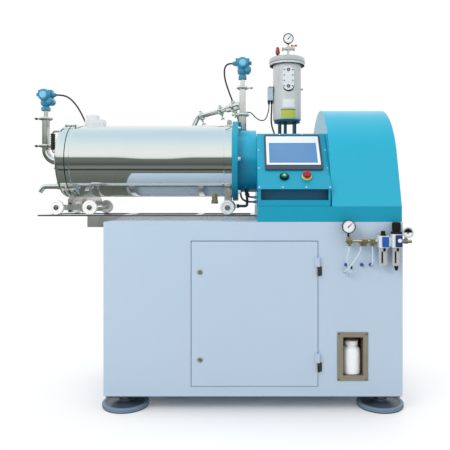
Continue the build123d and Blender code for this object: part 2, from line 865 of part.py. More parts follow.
with BuildPart() as motor_pulley:
    add(
        turned(
            aimed((PULLEY_LEFT, 0, MOTOR_Z), (1, 0, 0)),
            pulley_outline(MOTOR_PULLEY_RADIUS, 0, 0, 0),
        )
    )
    add(bar(across(MOTOR_RIGHT - 49), (0, MOTOR_Z), MOTOR_SHAFT, PULLEY_LEFT - MOTOR_RIGHT + 49))
motor_pulley.part.label = "motor_pulley"
export_step(motor_pulley.part, "parts/motor_pulley.step")

BELT_TOP_HALF = 8.0
BELT_HEIGHT = 13.0
BELT_BACK = 1.0


def belt(middle):
    """One V-belt: its section carried round both pulleys and along their common tangents."""
    big = DRIVE_PULLEY_RADIUS + BELT_BACK
    small = MOTOR_PULLEY_RADIUS + BELT_BACK
    lean = math.asin((big - small) / (SHAFT_Z - MOTOR_Z))
    big_end = (big * math.cos(lean), SHAFT_Z - big * math.sin(lean))
    small_end = (small * math.cos(lean), MOTOR_Z - small * math.sin(lean))
    start = Vector(middle, (big_end[0] + small_end[0]) / 2, (big_end[1] + small_end[1]) / 2)
    with BuildPart() as piece:
        with BuildLine() as loop:
            Line(start, (middle, *big_end))
            ThreePointArc((middle, *big_end), (middle, 0, SHAFT_Z + big), (middle, -big_end[0], big_end[1]))
            Line((middle, -big_end[0], big_end[1]), (middle, -small_end[0], small_end[1]))
            ThreePointArc(
                (middle, -small_end[0], small_end[1]),
                (middle, 0, MOTOR_Z - small),
                (middle, *small_end),
            )
            Line((middle, *small_end), start)
        outward = Vector(0, math.cos(lean), -math.sin(lean))
        with BuildSketch(Plane(origin=start, x_dir=(1, 0, 0), z_dir=Vector(1, 0, 0).cross(outward))):
            with BuildLine():
                Polyline(
                    (-BELT_TOP_HALF, 0),
                    (BELT_TOP_HALF, 0),
                    (BELT_TOP_HALF - BELT_HEIGHT * GROOVE_SLOPE, -BELT_HEIGHT),
                    (-BELT_TOP_HALF + BELT_HEIGHT * GROOVE_SLOPE, -BELT_HEIGHT),
                    close=True,
                )
            make_face()
        sweep(path=loop.line)
    return piece.part


with BuildPart() as drive_belts:
    for groove in range(BELT_COUNT):
        add(belt(PULLEY_LEFT + PULLEY_EDGE + groove * BELT_PITCH))
drive_belts.part.label = "drive_belts"
export_step(drive_belts.part, "parts/drive_belts.step")

# Main shaft with its bearings, the mechanical seal in the neck, and the pin rotor. Rings of rotor
# pins turn between rings of fixed pins, which stand in the spaces between them.
ROTOR_LEFT = -880.0
ROTOR_RIGHT = -140.0
JOURNAL = 50.0
RACE_INNER = 62.0
RACE_OUTER = 80.0

with BuildPart() as main_shaft:
    add(
        turned(
            aimed((ROTOR_LEFT + 20, 0, SHAFT_Z), (1, 0, 0)),
            [
                (0, 0),
                (SHAFT_RADIUS, 0),
                (SHAFT_RADIUS, BEARING_SPANS[0][0] - 6 - ROTOR_LEFT - 20),
                (JOURNAL, BEARING_SPANS[0][0] - 6 - ROTOR_LEFT - 20),
                (JOURNAL, HOUSING_RIGHT - 4 - ROTOR_LEFT - 20),
                (SHAFT_RADIUS - 5, HOUSING_RIGHT - 4 - ROTOR_LEFT - 20),
                (SHAFT_RADIUS - 5, PULLEY_LEFT + PULLEY_WIDTH + 30 - ROTOR_LEFT - 20),
                (0, PULLEY_LEFT + PULLEY_WIDTH + 30 - ROTOR_LEFT - 20),
            ],
        )
    )
main_shaft.part.label = "main_shaft"
export_step(main_shaft.part, "parts/main_shaft.step")

with BuildPart() as bearing_outer_rings:
    for start, width in BEARING_SPANS:
        add(bar(across(start + 4), (0, SHAFT_Z), BEARING_RADIUS, width - 8, bore=RACE_OUTER))
bearing_outer_rings.part.label = "bearing_outer_rings"
export_step(bearing_outer_rings.part, "parts/bearing_outer_rings.step")

with BuildPart() as bearing_inner_rings:
    for start, width in BEARING_SPANS:
        add(bar(across(start + 4), (0, SHAFT_Z), RACE_INNER, width - 8, bore=JOURNAL))
        add(bar(across(start + width / 2 - 2), (0, SHAFT_Z), RACE_OUTER - 4, 4, bore=RACE_INNER - 1))
        with BuildSketch(across(start + 9)):
            with Locations((0, SHAFT_Z)):
                with PolarLocations((RACE_INNER + RACE_OUTER) / 2, 16):
                    Circle((RACE_OUTER - RACE_INNER) / 2 - 0.3)
        extrude(amount=width - 18)
bearing_inner_rings.part.label = "bearing_inner_rings"
export_step(bearing_inner_rings.part, "parts/bearing_inner_rings.step")

with BuildPart() as mechanical_seal:
    add(
        turned(
            aimed((FLANGE_LEFT + 1, 0, SHAFT_Z), (1, 0, 0)),
            [
                (SHAFT_RADIUS + RUNNING_FIT, 0),
                (SEAL_RADIUS, 0),
                (SEAL_RADIUS, 29),
                (SEAL_RADIUS + 18, 29),
                (SEAL_RADIUS + 18, 41),
                (74, 41),
                (70, 96),
                (SHAFT_RADIUS + RUNNING_FIT, 96),
            ],
        )
    )
mechanical_seal.part.label = "mechanical_seal"
export_step(mechanical_seal.part, "parts/mechanical_seal.step")

PIN_ROWS = 7
FIRST_ROW = -845.0

with BuildPart() as pin_rotor:
    add(
        bar(
            across(ROTOR_LEFT + 20),
            (0, SHAFT_Z),
            ROTOR_RADIUS,
            ROTOR_RIGHT - ROTOR_LEFT - 20,
            bore=SHAFT_RADIUS,
        )
    )
    add(
        turned(
            aimed((ROTOR_LEFT + 20, 0, SHAFT_Z), (-1, 0, 0)),
            [(0, 0), (ROTOR_RADIUS, 0), (ROTOR_RADIUS - 8, 14), (ROTOR_RADIUS - 30, 20), (0, 20)],
        )
    )
    for row in range(PIN_ROWS):
        for turn in range(4):
            way = Vector(0, 1, 0).rotate(Axis.X, 90 * turn)
            foot = Vector(FIRST_ROW + row * PIN_PITCH, 0, SHAFT_Z) + way * (ROTOR_RADIUS - 6)
            add(bar(aimed(foot, way), (0, 0), PIN_RADIUS, 138 - ROTOR_RADIUS + 6))
pin_rotor.part.label = "pin_rotor"
export_step(pin_rotor.part, "parts/pin_rotor.step")

# Barrel: the hard chamber liner with its fixed pins, inside a polished cooling jacket with an end
# flange, lifting lug and water ports. The end cover carries the product pipes and the bead screen.
with BuildPart() as chamber_liner:
    add(
        bar(
            across(BARREL_LEFT),
            (0, SHAFT_Z),
            CHAMBER_BORE + CHAMBER_WALL,
            BARREL_RIGHT - BARREL_LEFT,
            bore=CHAMBER_BORE,
        )
    )
chamber_liner.part.label = "chamber_liner"
export_step(chamber_liner.part, "parts/chamber_liner.step")

with BuildPart() as static_pins:
    for row in range(PIN_ROWS - 1):
        for turn in range(4):
            way = Vector(0, 1, 0).rotate(Axis.X, 45 + 90 * turn)
            foot = Vector(FIRST_ROW + (row + 0.5) * PIN_PITCH, 0, SHAFT_Z) + way * (ROTOR_RADIUS + 12)
            reach = CHAMBER_BORE - ROTOR_RADIUS - 12 - 0.3
            add(bar(aimed(foot, way), (0, 0), PIN_RADIUS, reach))
static_pins.part.label = "static_pins"
export_step(static_pins.part, "parts/static_pins.step")

JACKET_BORE = CHAMBER_BORE + CHAMBER_WALL
END_RING = 22.0
LUG_X = -124.0
CLIP_X = (-720.0, -485.0, -260.0)
CABLE_Y = 235.0
CLIP_Z = 1134.0
WATER_PORT_X = -876.0
PORT_SADDLE_TOP = 1428.0
PORT_TOP = 1454.0
DRAIN_X = -205.0
PORT_BORE = 12.0

with BuildPart() as barrel_shell:
    neck_ring = NECK_RING_LEFT - BARREL_LEFT
    barrel_length = BARREL_RIGHT - BARREL_LEFT
    add(
        turned(
            aimed((BARREL_LEFT, 0, SHAFT_Z), (1, 0, 0)),
            [
                (JACKET_BORE, 0),
                (BARREL_RADIUS + RING_PROUD, 0),
                (BARREL_RADIUS + RING_PROUD, END_RING - 2),
                (BARREL_RADIUS, END_RING),
                (BARREL_RADIUS, neck_ring - 2),
                (BARREL_RADIUS + RING_PROUD, neck_ring),
                (BARREL_RADIUS + RING_PROUD, barrel_length),
                (JACKET_BORE, barrel_length),
                (JACKET_BORE, neck_ring),
                (BARREL_RADIUS - BARREL_WALL, neck_ring),
                (BARREL_RADIUS - BARREL_WALL, END_RING),
                (JACKET_BORE, END_RING),
            ],
        )
    )
    saddle = PORT_SADDLE_TOP - SHAFT_Z - BARREL_RADIUS + 5
    add(block(level(PORT_SADDLE_TOP - saddle), (WATER_PORT_X - 36, -30), (WATER_PORT_X + 67, 30), saddle))
    port_low, port_high = (WATER_PORT_X - 32, -24), (WATER_PORT_X + 32, 24)
    add(block(level(PORT_SADDLE_TOP), port_low, port_high, PORT_TOP - PORT_SADDLE_TOP, corner=4))
    add(bar(level(PORT_TOP - 36), (WATER_PORT_X, 0), PORT_BORE, 37), mode=Mode.SUBTRACT)
    add(bar(level(SHAFT_Z - BARREL_RADIUS - 22), (DRAIN_X, 0), 16, 30))
    add(hexagon(level(SHAFT_Z - BARREL_RADIUS - 38), (DRAIN_X, 0), 36, 18))
    add(bar(level(SHAFT_Z - BARREL_RADIUS - 39), (DRAIN_X, 0), PORT_BORE, 32), mode=Mode.SUBTRACT)
    with BuildSketch(facing(5)):
        with Locations((LUG_X, SHAFT_Z + BARREL_RADIUS + 12)):
            SlotOverall(44, 28, rotation=90)
            Circle(8, mode=Mode.SUBTRACT)
    extrude(amount=10)
    for x in CLIP_X:
        add(
            bar(
                aimed((x, BARREL_RADIUS - 15, CLIP_Z - 2), (0, 1, 0)),
                (0, 0),
                4,
                CABLE_Y - BARREL_RADIUS + 9,
            )
        )
        add(bar(across(x - 5), (CABLE_Y, CLIP_Z), 11, 10, bore=7))
    for x in CLIP_X:
        add(bar(across(x - 6), (CABLE_Y, CLIP_Z), 7, 12), mode=Mode.SUBTRACT)
barrel_shell.part.label = "barrel_shell"
export_step(barrel_shell.part, "parts/barrel_shell.step")

SCREEN_RADIUS = 62.0
COVER_BORE = 18.0
COVER_THICK = BARREL_LEFT - COVER_LEFT
COVER_SEAM = 4.0
HANDLE_X = COVER_LEFT - 40.0
HANDLE_Y = -90.0
HANDLE_LOW = 1244.0
HANDLE_HIGH = 1356.0
GRIP_RIBS = 8
RIB_PITCH = 11.0

with BuildPart() as end_cover:
    add(
        turned(
            aimed((BARREL_LEFT, 0, SHAFT_Z), (-1, 0, 0)),
            [
                (0, 0),
                (BARREL_RADIUS - 5, 0),
                (BARREL_RADIUS - 5, COVER_SEAM),
                (BARREL_RADIUS + RING_PROUD, COVER_SEAM),
                (BARREL_RADIUS + RING_PROUD, COVER_THICK - 22),
                (BARREL_RADIUS + 2, COVER_THICK - 13),
                (BARREL_RADIUS - 3, COVER_THICK - 5),
                (BARREL_RADIUS - 11, COVER_THICK),
                (0, COVER_THICK),
            ],
        )
    )
    add(bar(across(COVER_LEFT - 1), (0, SHAFT_Z), COVER_BORE, COVER_THICK + 2), mode=Mode.SUBTRACT)
    handle = [
        (COVER_LEFT + 2, HANDLE_Y, HANDLE_LOW),
        (HANDLE_X, HANDLE_Y, HANDLE_LOW),
        (HANDLE_X, HANDLE_Y, HANDLE_HIGH),
        (COVER_LEFT + 2, HANDLE_Y, HANDLE_HIGH),
    ]
    add(bent(handle, 10, 6))
    add(bar(level(HANDLE_LOW + 13), (HANDLE_X, HANDLE_Y), 10, HANDLE_HIGH - HANDLE_LOW - 26))
    for rib in range(GRIP_RIBS):
        add(bar(level(HANDLE_LOW + 14 + rib * RIB_PITCH), (HANDLE_X, HANDLE_Y), 13, 7))
end_cover.part.label = "end_cover"
export_step(end_cover.part, "parts/end_cover.step")

with BuildPart() as separator_screen:
    add(bar(across(BARREL_LEFT), (0, SHAFT_Z), SCREEN_RADIUS, 70, bore=SCREEN_RADIUS - 5))
    add(bar(across(BARREL_LEFT + 66), (0, SHAFT_Z), SCREEN_RADIUS, 6))
    with BuildSketch(across(BARREL_LEFT + 12)):
        with Locations((0, SHAFT_Z)):
            with PolarLocations(SCREEN_RADIUS, 16):
                Rectangle(16, 2.5)
    extrude(amount=46, mode=Mode.SUBTRACT)
separator_screen.part.label = "separator_screen"
export_step(separator_screen.part, "parts/separator_screen.step")

# Trolley: three cradles under the barrel, joined by a bar with bolted posts on each side, on three
# axles of nylon wheels that run along the rails.
PLATE_Y = 142.0
PLATE_THICK = 8.0
PLATE_FACE = PLATE_Y + PLATE_THICK
AXLE_RADIUS = 8.0
WHEEL_WIDTH = 24.0
AXLE_Z = RAIL_TOP + WHEEL_RADIUS + WHEEL_LIFT
BAR_HALF = 14.0
CRADLE_WIDTH = 22.0
END_CRADLES = ((-963.0, BARREL_RADIUS + RING_PROUD), (-890.0, BARREL_RADIUS))
NECK_CRADLE_X = -142.0
POST_LOW = 925.0
POST_HIGH = 996.0
STRAP_TOP = 1047.0
POST_BOLTS = (933.0, 972.0)


def bolt_heads(x, z, radius):
    """A bolt head on the outer face of each side bar."""
    with BuildPart() as piece:
        for outer in (-PLATE_FACE, PLATE_FACE + 5):
            add(bar(facing(outer), (x, z), radius, 5))
    return piece.part


with BuildPart() as trolley_frame:
    for x, seat in END_CRADLES:
        low = AXLE_Z - BAR_HALF
        outline = [(-PLATE_FACE, low), (-PLATE_FACE, 985), (-104, 1036)]
        mirrored = [(-y, z) for y, z in reversed(outline)]
        add(prism(across(x), outline + mirrored, CRADLE_WIDTH))
        add(bar(across(x), (0, SHAFT_Z), seat, CRADLE_WIDTH), mode=Mode.SUBTRACT)
    low, high = (-PLATE_FACE, AXLE_Z - BAR_HALF), (PLATE_FACE, STRAP_TOP)
    add(block(across(NECK_CRADLE_X), low, high, CRADLE_WIDTH))
    neck_seat = BARREL_RADIUS + RING_PROUD
    add(bar(across(NECK_CRADLE_X), (0, SHAFT_Z), neck_seat, CRADLE_WIDTH), mode=Mode.SUBTRACT)
    for x in (END_CRADLES[0][0], END_CRADLES[1][0], NECK_CRADLE_X):
        window = block(across(x), (-100, AXLE_Z - BAR_HALF - 1), (100, AXLE_Z + 30), CRADLE_WIDTH)
        add(window, mode=Mode.SUBTRACT)
    for outer in (-PLATE_Y, PLATE_FACE):
        low, high = (WHEEL_X["left"] - 16, AXLE_Z - BAR_HALF), (WHEEL_X["middle"] + 16, AXLE_Z + BAR_HALF)
        add(block(facing(outer), low, high, PLATE_THICK))
        for x, seat in END_CRADLES:
            low, high = (x - 2, POST_LOW), (x + CRADLE_WIDTH + 2, POST_HIGH)
            add(block(facing(outer), low, high, PLATE_THICK))
        low, high = (WHEEL_X["right"] - 16, AXLE_Z - BAR_HALF), (WHEEL_X["right"] + 16, STRAP_TOP)
        add(block(facing(outer), low, high, PLATE_THICK))
    for x, seat in END_CRADLES:
        for z in POST_BOLTS:
            add(bolt_heads(x + CRADLE_WIDTH / 2, z, 6.5))
    add(bolt_heads(WHEEL_X["right"], STRAP_TOP - 12, 9))
    for x in WHEEL_X.values():
        add(bar(facing(RAIL_Y), (x, AXLE_Z), AXLE_RADIUS + RUNNING_FIT, 2 * RAIL_Y), mode=Mode.SUBTRACT)
trolley_frame.part.label = "trolley_frame"
export_step(trolley_frame.part, "parts/trolley_frame.step")


def wheelset(x):
    """Two nylon wheels on one axle, with a crowned tread and a raised hub."""
    with BuildPart() as piece:
        add(bar(facing(RAIL_Y + 20), (x, AXLE_Z), AXLE_RADIUS, 2 * RAIL_Y + 40))
        for side in (-1, 1):
            add(
                turned(
                    aimed((x, side * (RAIL_Y - WHEEL_WIDTH / 2 + 3), AXLE_Z), (0, side, 0)),
                    [
                        (0, 0),
                        (WHEEL_RADIUS - 2, 0),
                        (WHEEL_RADIUS, 2),
                        (WHEEL_RADIUS, WHEEL_WIDTH - 2),
                        (WHEEL_RADIUS - 2, WHEEL_WIDTH),
                        (26, WHEEL_WIDTH),
                        (24, WHEEL_WIDTH - 3),
                        (16, WHEEL_WIDTH - 3),
                        (14, WHEEL_WIDTH + 2),
                        (0, WHEEL_WIDTH + 2),
                    ],
                )
            )
    return piece.part


with BuildPart() as wheelset_left:
    add(wheelset(WHEEL_X["left"]))
wheelset_left.part.label = "wheelset_left"
export_step(wheelset_left.part, "parts/wheelset_left.step")

with BuildPart() as wheelset_middle:
    add(wheelset(WHEEL_X["middle"]))
wheelset_middle.part.label = "wheelset_middle"
export_step(wheelset_middle.part, "parts/wheelset_middle.step")

with BuildPart() as wheelset_right:
    add(wheelset(WHEEL_X["right"]))
wheelset_right.part.label = "wheelset_right"
export_step(wheelset_right.part, "parts/wheelset_right.step")

# Rails: flat polished bars on webs, tied across, carried beyond the cabinet by two box arms, with
# a bent hook for a hose below the front arm.
RAIL_WIDTH = 44.0
RAIL_THICK = 7.0
ARM_LEFT = -851.0

with BuildPart() as slide_rails:
    for side in (-1, 1):
        middle = side * RAIL_Y
        add(
            block(
                level(RAIL_TOP - RAIL_THICK),
                (RAIL_LEFT, middle - RAIL_WIDTH / 2),
                (HOUSING_LEFT, middle + RAIL_WIDTH / 2),
                RAIL_THICK,
            )
        )
        add(
            block(
                level(CABINET_TOP),
                (LEFT, middle - 14),
                (HOUSING_LEFT, middle + 14),
                RAIL_TOP - RAIL_THICK - CABINET_TOP,
            )
        )
        add(block(level(850), (ARM_LEFT, middle - 26), (LEFT, middle + 26), RAIL_TOP - RAIL_THICK - 850))
    for x in (RAIL_LEFT, LEFT + 20, -300.0, HOUSING_LEFT - 30):
        add(
            block(
                level(RAIL_TOP - RAIL_THICK),
                (x, -RAIL_Y),
                (x + 30, RAIL_Y),
                RAIL_THICK,
            )
        )
    add(
        bent(
            [
                (LEFT, -RAIL_Y, 836),
                (LEFT - 16, -RAIL_Y, 836),
                (LEFT - 36, -RAIL_Y, 826),
                (LEFT - 58, -RAIL_Y, 826),
                (LEFT - 66, -RAIL_Y, 842),
            ],
            6,
            3,
        )
    )
slide_rails.part.label = "slide_rails"
export_step(slide_rails.part, "parts/slide_rails.step")


# Product pipework in stainless tube with clamped joints. The end cover has a riser to its pressure
# and temperature transmitter, and a drain spout. The neck has a riser and the long inlet branch.
def clamp(base, bore, wing_turn):
    """A hinged pipe clamp: a bevelled ring with a screw lug and a wing nut."""
    outer = bore + 11
    with BuildPart() as piece:
        add(turned(base, [(bore, -8), (outer - 3, -8), (outer, -4), (outer, 4), (outer - 3, 8), (bore, 8)]))
        way = base.x_dir.rotate(Axis((0, 0, 0), base.z_dir), wing_turn)
        lug = aimed(base.origin + way * (outer - 2), way)
        add(block(lug, (-6, -6), (6, 6), 10))
        add(bar(lug.offset(8), (0, 0), 3.5, 18))
        along = Plane(origin=base.origin + way * (outer + 18), x_dir=base.z_dir, z_dir=way)
        add(block(along, (-15, -2), (15, 2), 11))
        add(bar(along, (0, 0), 6.5, 7))
        far = base.origin - way * (outer - 2)
        add(block(aimed(far, -way), (-5, -6), (5, 6), 7))
    return piece.part


END_CLAMP_Z = (1286.0, 1436.0)
SENSOR_PIPE_RADIUS = 12.0

with BuildPart() as end_pipework:
    add(
        bent(
            [(COVER_LEFT, 0, SHAFT_Z), (RISER_X, 0, SHAFT_Z), (RISER_X, 0, END_CLAMP_Z[1] + 6)],
            64,
            PIPE_RADIUS,
            PIPE_RADIUS - 2,
        )
    )
    add(bar(level(END_CLAMP_Z[1] + 6), (RISER_X, 0), PIPE_RADIUS, 6))
    sensor_foot = END_CLAMP_Z[1] + 6
    add(bar(level(sensor_foot), (RISER_X, 0), SENSOR_PIPE_RADIUS, TRANSMITTER_Z["end"] - sensor_foot))
    add(
        bent(
            [(COVER_LEFT, 0, SPOUT_Z), (RISER_X - 12, 0, SPOUT_Z), (RISER_X - 34, 0, SPOUT_Z - 30)],
            30,
            SPOUT_RADIUS,
            SPOUT_RADIUS - 2,
        )
    )
    add(bar(across(COVER_LEFT - 46), (0, SPOUT_Z), SPOUT_RADIUS + 3, 12, bore=SPOUT_RADIUS - 1))
end_pipework.part.label = "end_pipework"
export_step(end_pipework.part, "parts/end_pipework.step")

with BuildPart() as barrel_clamps:
    for z in END_CLAMP_Z:
        add(clamp(Plane(origin=(RISER_X, 0, z), x_dir=(-1, 0, 0), z_dir=(0, 0, 1)), PIPE_RADIUS, 0))
barrel_clamps.part.label = "barrel_clamps"
export_step(barrel_clamps.part, "parts/barrel_clamps.step")


def transmitter(x, foot, cable_side):
    """A two-chamber transmitter head on its hexagon union, with screwed caps and a cable gland."""
    with BuildPart() as piece:
        add(hexagon(level(foot), (x, 0), 44, 20))
        add(
            turned(
                aimed((x, 0, foot + 20), (0, 0, 1)),
                [(0, 0), (17, 0), (17, 6), (26, 12), (29, 26), (26, 44), (0, 44)],
            )
        )
        eye = aimed((x, -44, foot + 84), (0, 1, 0))
        add(
            turned(
                eye,
                [
                    (0, -8),
                    (24, -8),
                    (29, -4),
                    (29, 8),
                    (33, 12),
                    (33, 76),
                    (29, 80),
                    (29, 92),
                    (24, 96),
                    (0, 96),
                ],
            )
        )
        add(bar(eye.offset(-8), (0, 0), 19, 2), mode=Mode.SUBTRACT)
        second = aimed((x + 27, -30, foot + 52), (0, 1, 0))
        add(turned(second, [(0, -8), (15, -8), (18, -5), (18, 8), (21, 10), (21, 50), (18, 56), (0, 56)]))
        side = Vector(cable_side, 0, 0)
        gland = aimed(Vector(x, 0, foot + 88) + side * 20, side)
        add(turned(gland, [(0, 0), (15, 0), (15, 20), (12, 22), (12, 28), (8, 36), (0, 36)]))
        plug = aimed(Vector(x, 0, foot + 90) - side * 20, -side)
        add(turned(plug, [(0, 0), (14, 0), (14, 18), (11, 20), (11, 30), (0, 30)]))
        web = aimed((x, 0, foot + 96), (0, 0, 1))
        add(block(web, (-38, -16), (38, 16), 18, corner=5))
    return piece.part


GLAND_REACH = 56.0
GLAND_RISE = 88.0

with BuildPart() as end_transmitter:
    add(transmitter(RISER_X, TRANSMITTER_Z["end"], 1))
end_transmitter.part.label = "end_transmitter"
export_step(end_transmitter.part, "parts/end_transmitter.step")

NECK_CLAMP_Z = (1465.0, 1615.0)
UPPER_RISER_RADIUS = 17.5
BRANCH_START = Vector(NECK_RISER_X - 12, 8, 1513)
BRANCH_CORNER = Vector(-318, 230, 1480)
BRANCH_END = Vector(-352, 262, 1418)
branch_way = (BRANCH_CORNER - BRANCH_START).normalized()
NIPPLE_Z = 1472.0

with BuildPart() as neck_pipework:
    foot = SHAFT_Z + NECK_RADIUS + 6
    add(bar(level(foot), (NECK_RISER_X, 0), PIPE_RADIUS, NECK_CLAMP_Z[0] - foot))
    upper_length = NECK_CLAMP_Z[1] - NECK_CLAMP_Z[0] + 6
    add(bar(level(NECK_CLAMP_Z[0]), (NECK_RISER_X, 0), UPPER_RISER_RADIUS, upper_length))
    sensor_length = TRANSMITTER_Z["neck"] - NECK_CLAMP_Z[1]
    add(bar(level(NECK_CLAMP_Z[1]), (NECK_RISER_X, 0), SENSOR_PIPE_RADIUS, sensor_length))
    add(bar(across(NECK_RISER_X + 12), (0, NIPPLE_Z), 5, 16))
    add(
        turned(
            aimed(BRANCH_START, branch_way),
            [(0, 0), (16, 0), (22, 12), (22, 96), (18, 104), (14, 108), (0, 108)],
        )
    )
    add(
        bent(
            [BRANCH_START + branch_way * 100, BRANCH_CORNER, BRANCH_END],
            40,
            14,
        )
    )
    spigot = (BRANCH_END - BRANCH_CORNER).normalized()
    add(bar(aimed(BRANCH_END - spigot * 26, spigot), (0, 0), 12, 30), mode=Mode.SUBTRACT)
neck_pipework.part.label = "neck_pipework"
export_step(neck_pipework.part, "parts/neck_pipework.step")

with BuildPart() as neck_clamps:
    lower, upper = NECK_CLAMP_Z[0] - 8, NECK_CLAMP_Z[1] - 9
    for z, bore, way in ((lower, PIPE_RADIUS, -1), (upper, UPPER_RISER_RADIUS, 1)):
        add(clamp(Plane(origin=(NECK_RISER_X, 0, z), x_dir=(way, 0, 0), z_dir=(0, 0, 1)), bore, 0))
    for along, bore in ((50.0, 22.0), (150.0, 14.0), (306.0, 14.0)):
        seat = BRANCH_START + branch_way * along
        base = Plane(origin=seat, x_dir=branch_way.cross(Vector(0, 0, 1)), z_dir=branch_way)
        add(clamp(base, bore, 75))
neck_clamps.part.label = "neck_clamps"
export_step(neck_clamps.part, "parts/neck_clamps.step")

with BuildPart() as neck_transmitter:
    add(transmitter(NECK_RISER_X, TRANSMITTER_Z["neck"], -1))
neck_transmitter.part.label = "neck_transmitter"
export_step(neck_transmitter.part, "parts/neck_transmitter.step")

# Seal fluid tank: a hammered steel vessel with a bolted lid, a sight level, a level switch box, and
# on the lid a filling cross with its cock, a relief valve and the pressure gauge.
tank_axis = aimed((TANK_X, TANK_Y, TANK_BOTTOM), (0, 0, 1))
SIGHT_X = 203.0
SIGHT_Z = 1668.0
BOX_BOTTOM = 1554.0
LID_TOP = 1800.0
CROSS_X = 208.0
CROSS_Z = 1850.0
TANK_GAUGE_Z = 1908.0

with BuildPart() as tank_stand:
    add(block(level(HOUSING_TOP), (TANK_X - 56, TANK_Y - 56), (TANK_X + 66, TANK_Y + 56), 8, corner=6))
    for x in (-42.0, 42.0):
        for y in (-30.0, 30.0):
            corner = Vector(TANK_X + x, TANK_Y + y)
            low, high = (corner.X - 8, corner.Y - 8), (corner.X + 8, corner.Y + 8)
            add(block(level(HOUSING_TOP + 8), low, high, 94))
    add(bar(level(HOUSING_TOP + 8), (TANK_X - 12, TANK_Y - 30), 9, 94))
    add(bar(level(HOUSING_TOP + 102), (TANK_X, TANK_Y), TANK_RADIUS - 6, TANK_BOTTOM - HOUSING_TOP - 102))
tank_stand.part.label = "tank_stand"
export_step(tank_stand.part, "parts/tank_stand.step")

with BuildPart() as tank_body:
    add(
        turned(
            tank_axis,
            [
                (0, 0),
                (TANK_RADIUS - 4, 0),
                (TANK_RADIUS, 4),
                (TANK_RADIUS, TANK_TOP - TANK_BOTTOM - 12),
                (100, TANK_TOP - TANK_BOTTOM - 12),
                (100, TANK_TOP - TANK_BOTTOM),
                (TANK_RADIUS - 4, TANK_TOP - TANK_BOTTOM),
                (TANK_RADIUS - 4, 5),
                (0, 5),
            ],
        )
    )
    with BuildSketch(facing(TANK_Y - TANK_RADIUS + 3)):
        with Locations((SIGHT_X, SIGHT_Z)):
            SlotOverall(134, 64, rotation=90)
    extrude(amount=9)
    add(bar(aimed((TANK_X + TANK_RADIUS - 2, TANK_Y, 1620), (1, 0, 0)), (0, 0), 6, 14))
tank_body.part.label = "tank_body"
export_step(tank_body.part, "parts/tank_body.step")

with BuildPart() as tank_lid:
    add(
        turned(
            aimed((TANK_X, TANK_Y, TANK_TOP), (0, 0, 1)),
            [
                (0, 0),
                (98, 0),
                (102, 4),
                (102, 22),
                (96, 30),
                (70, LID_TOP - TANK_TOP),
                (0, LID_TOP - TANK_TOP),
            ],
        )
    )
tank_lid.part.label = "tank_lid"
export_step(tank_lid.part, "parts/tank_lid.step")

with BuildPart() as tank_fittings:
    add(bar(level(LID_TOP), (CROSS_X, TANK_Y), 7, TANK_GAUGE_Z - 36 - LID_TOP))
    add(hexagon(level(LID_TOP), (CROSS_X, TANK_Y), 22, 8))
    add(bar(across(CROSS_X - 34), (TANK_Y, CROSS_Z), 6.5, 68))
    add(bar(across(CROSS_X - 16), (TANK_Y, CROSS_Z), 10, 32))
    for x in (CROSS_X - 36, CROSS_X + 26):
        add(hexagon(across(x), (TANK_Y, CROSS_Z), 20, 10))
    add(bar(level(CROSS_Z + 9), (CROSS_X + 20, TANK_Y), 5, 6))
    add(bar(level(CROSS_Z + 5), (CROSS_X + 20, TANK_Y), 7, 4.5))
    relief = aimed((148, TANK_Y, LID_TOP), (0, 0, 1))
    add(turned(relief, [(0, 0), (11, 0), (11, 8), (7, 10), (7, 17), (10, 19), (10, 24), (0, 24)]))
    add(turned(relief.offset(24), [(0, 0), (11, 0), (13, 3), (11, 22), (7, 36), (0, 38)]))
    add(block(level(BOX_BOTTOM), (90, TANK_Y - 26), (TANK_X - TANK_RADIUS, TANK_Y + 26), 73, corner=3))
    for x in (98.0, 114.0):
        add(turned(aimed((x, TANK_Y, BOX_BOTTOM), (0, 0, -1)), [(0, 0), (7, 0), (7, 12), (4, 22), (0, 22)]))
tank_fittings.part.label = "tank_fittings"
export_step(tank_fittings.part, "parts/tank_fittings.step")

with BuildPart() as tank_cock_lever:
    hub = aimed((CROSS_X + 20, TANK_Y, CROSS_Z + 15.3), (0, 0, 1))
    add(turned(hub, [(0, 0), (6, 0), (6, 6), (4, 8), (0, 8)]))
    add(block(hub.offset(1), (0, -3.5), (30, 3.5), 4))
    add(bar(aimed((CROSS_X + 44, TANK_Y, CROSS_Z + 15.3), (0, 0, 1)), (0, 0), 5.5, 9))
tank_cock_lever.part.label = "tank_cock_lever"
export_step(tank_cock_lever.part, "parts/tank_cock_lever.step")


def gauge(centre, radius, depth):
    """A pressure gauge facing the operator: a cupped case with a raised rim round its dial."""
    face = aimed(centre, (0, -1, 0))
    return turned(
        face,
        [
            (0, -depth),
            (radius - 4, -depth),
            (radius - 2, -depth + 4),
            (radius - 2, -6),
            (radius, -5),
            (radius, 0),
            (radius - 3.5, 2),
            (radius - 4, -1.5),
            (0, -1.5),
        ],
    )


AIR_GAUGE_X = 440.0
AIR_GAUGE_Z = 868.0
INLET_GAUGE_X = 706.0
INLET_GAUGE_Z = 842.0

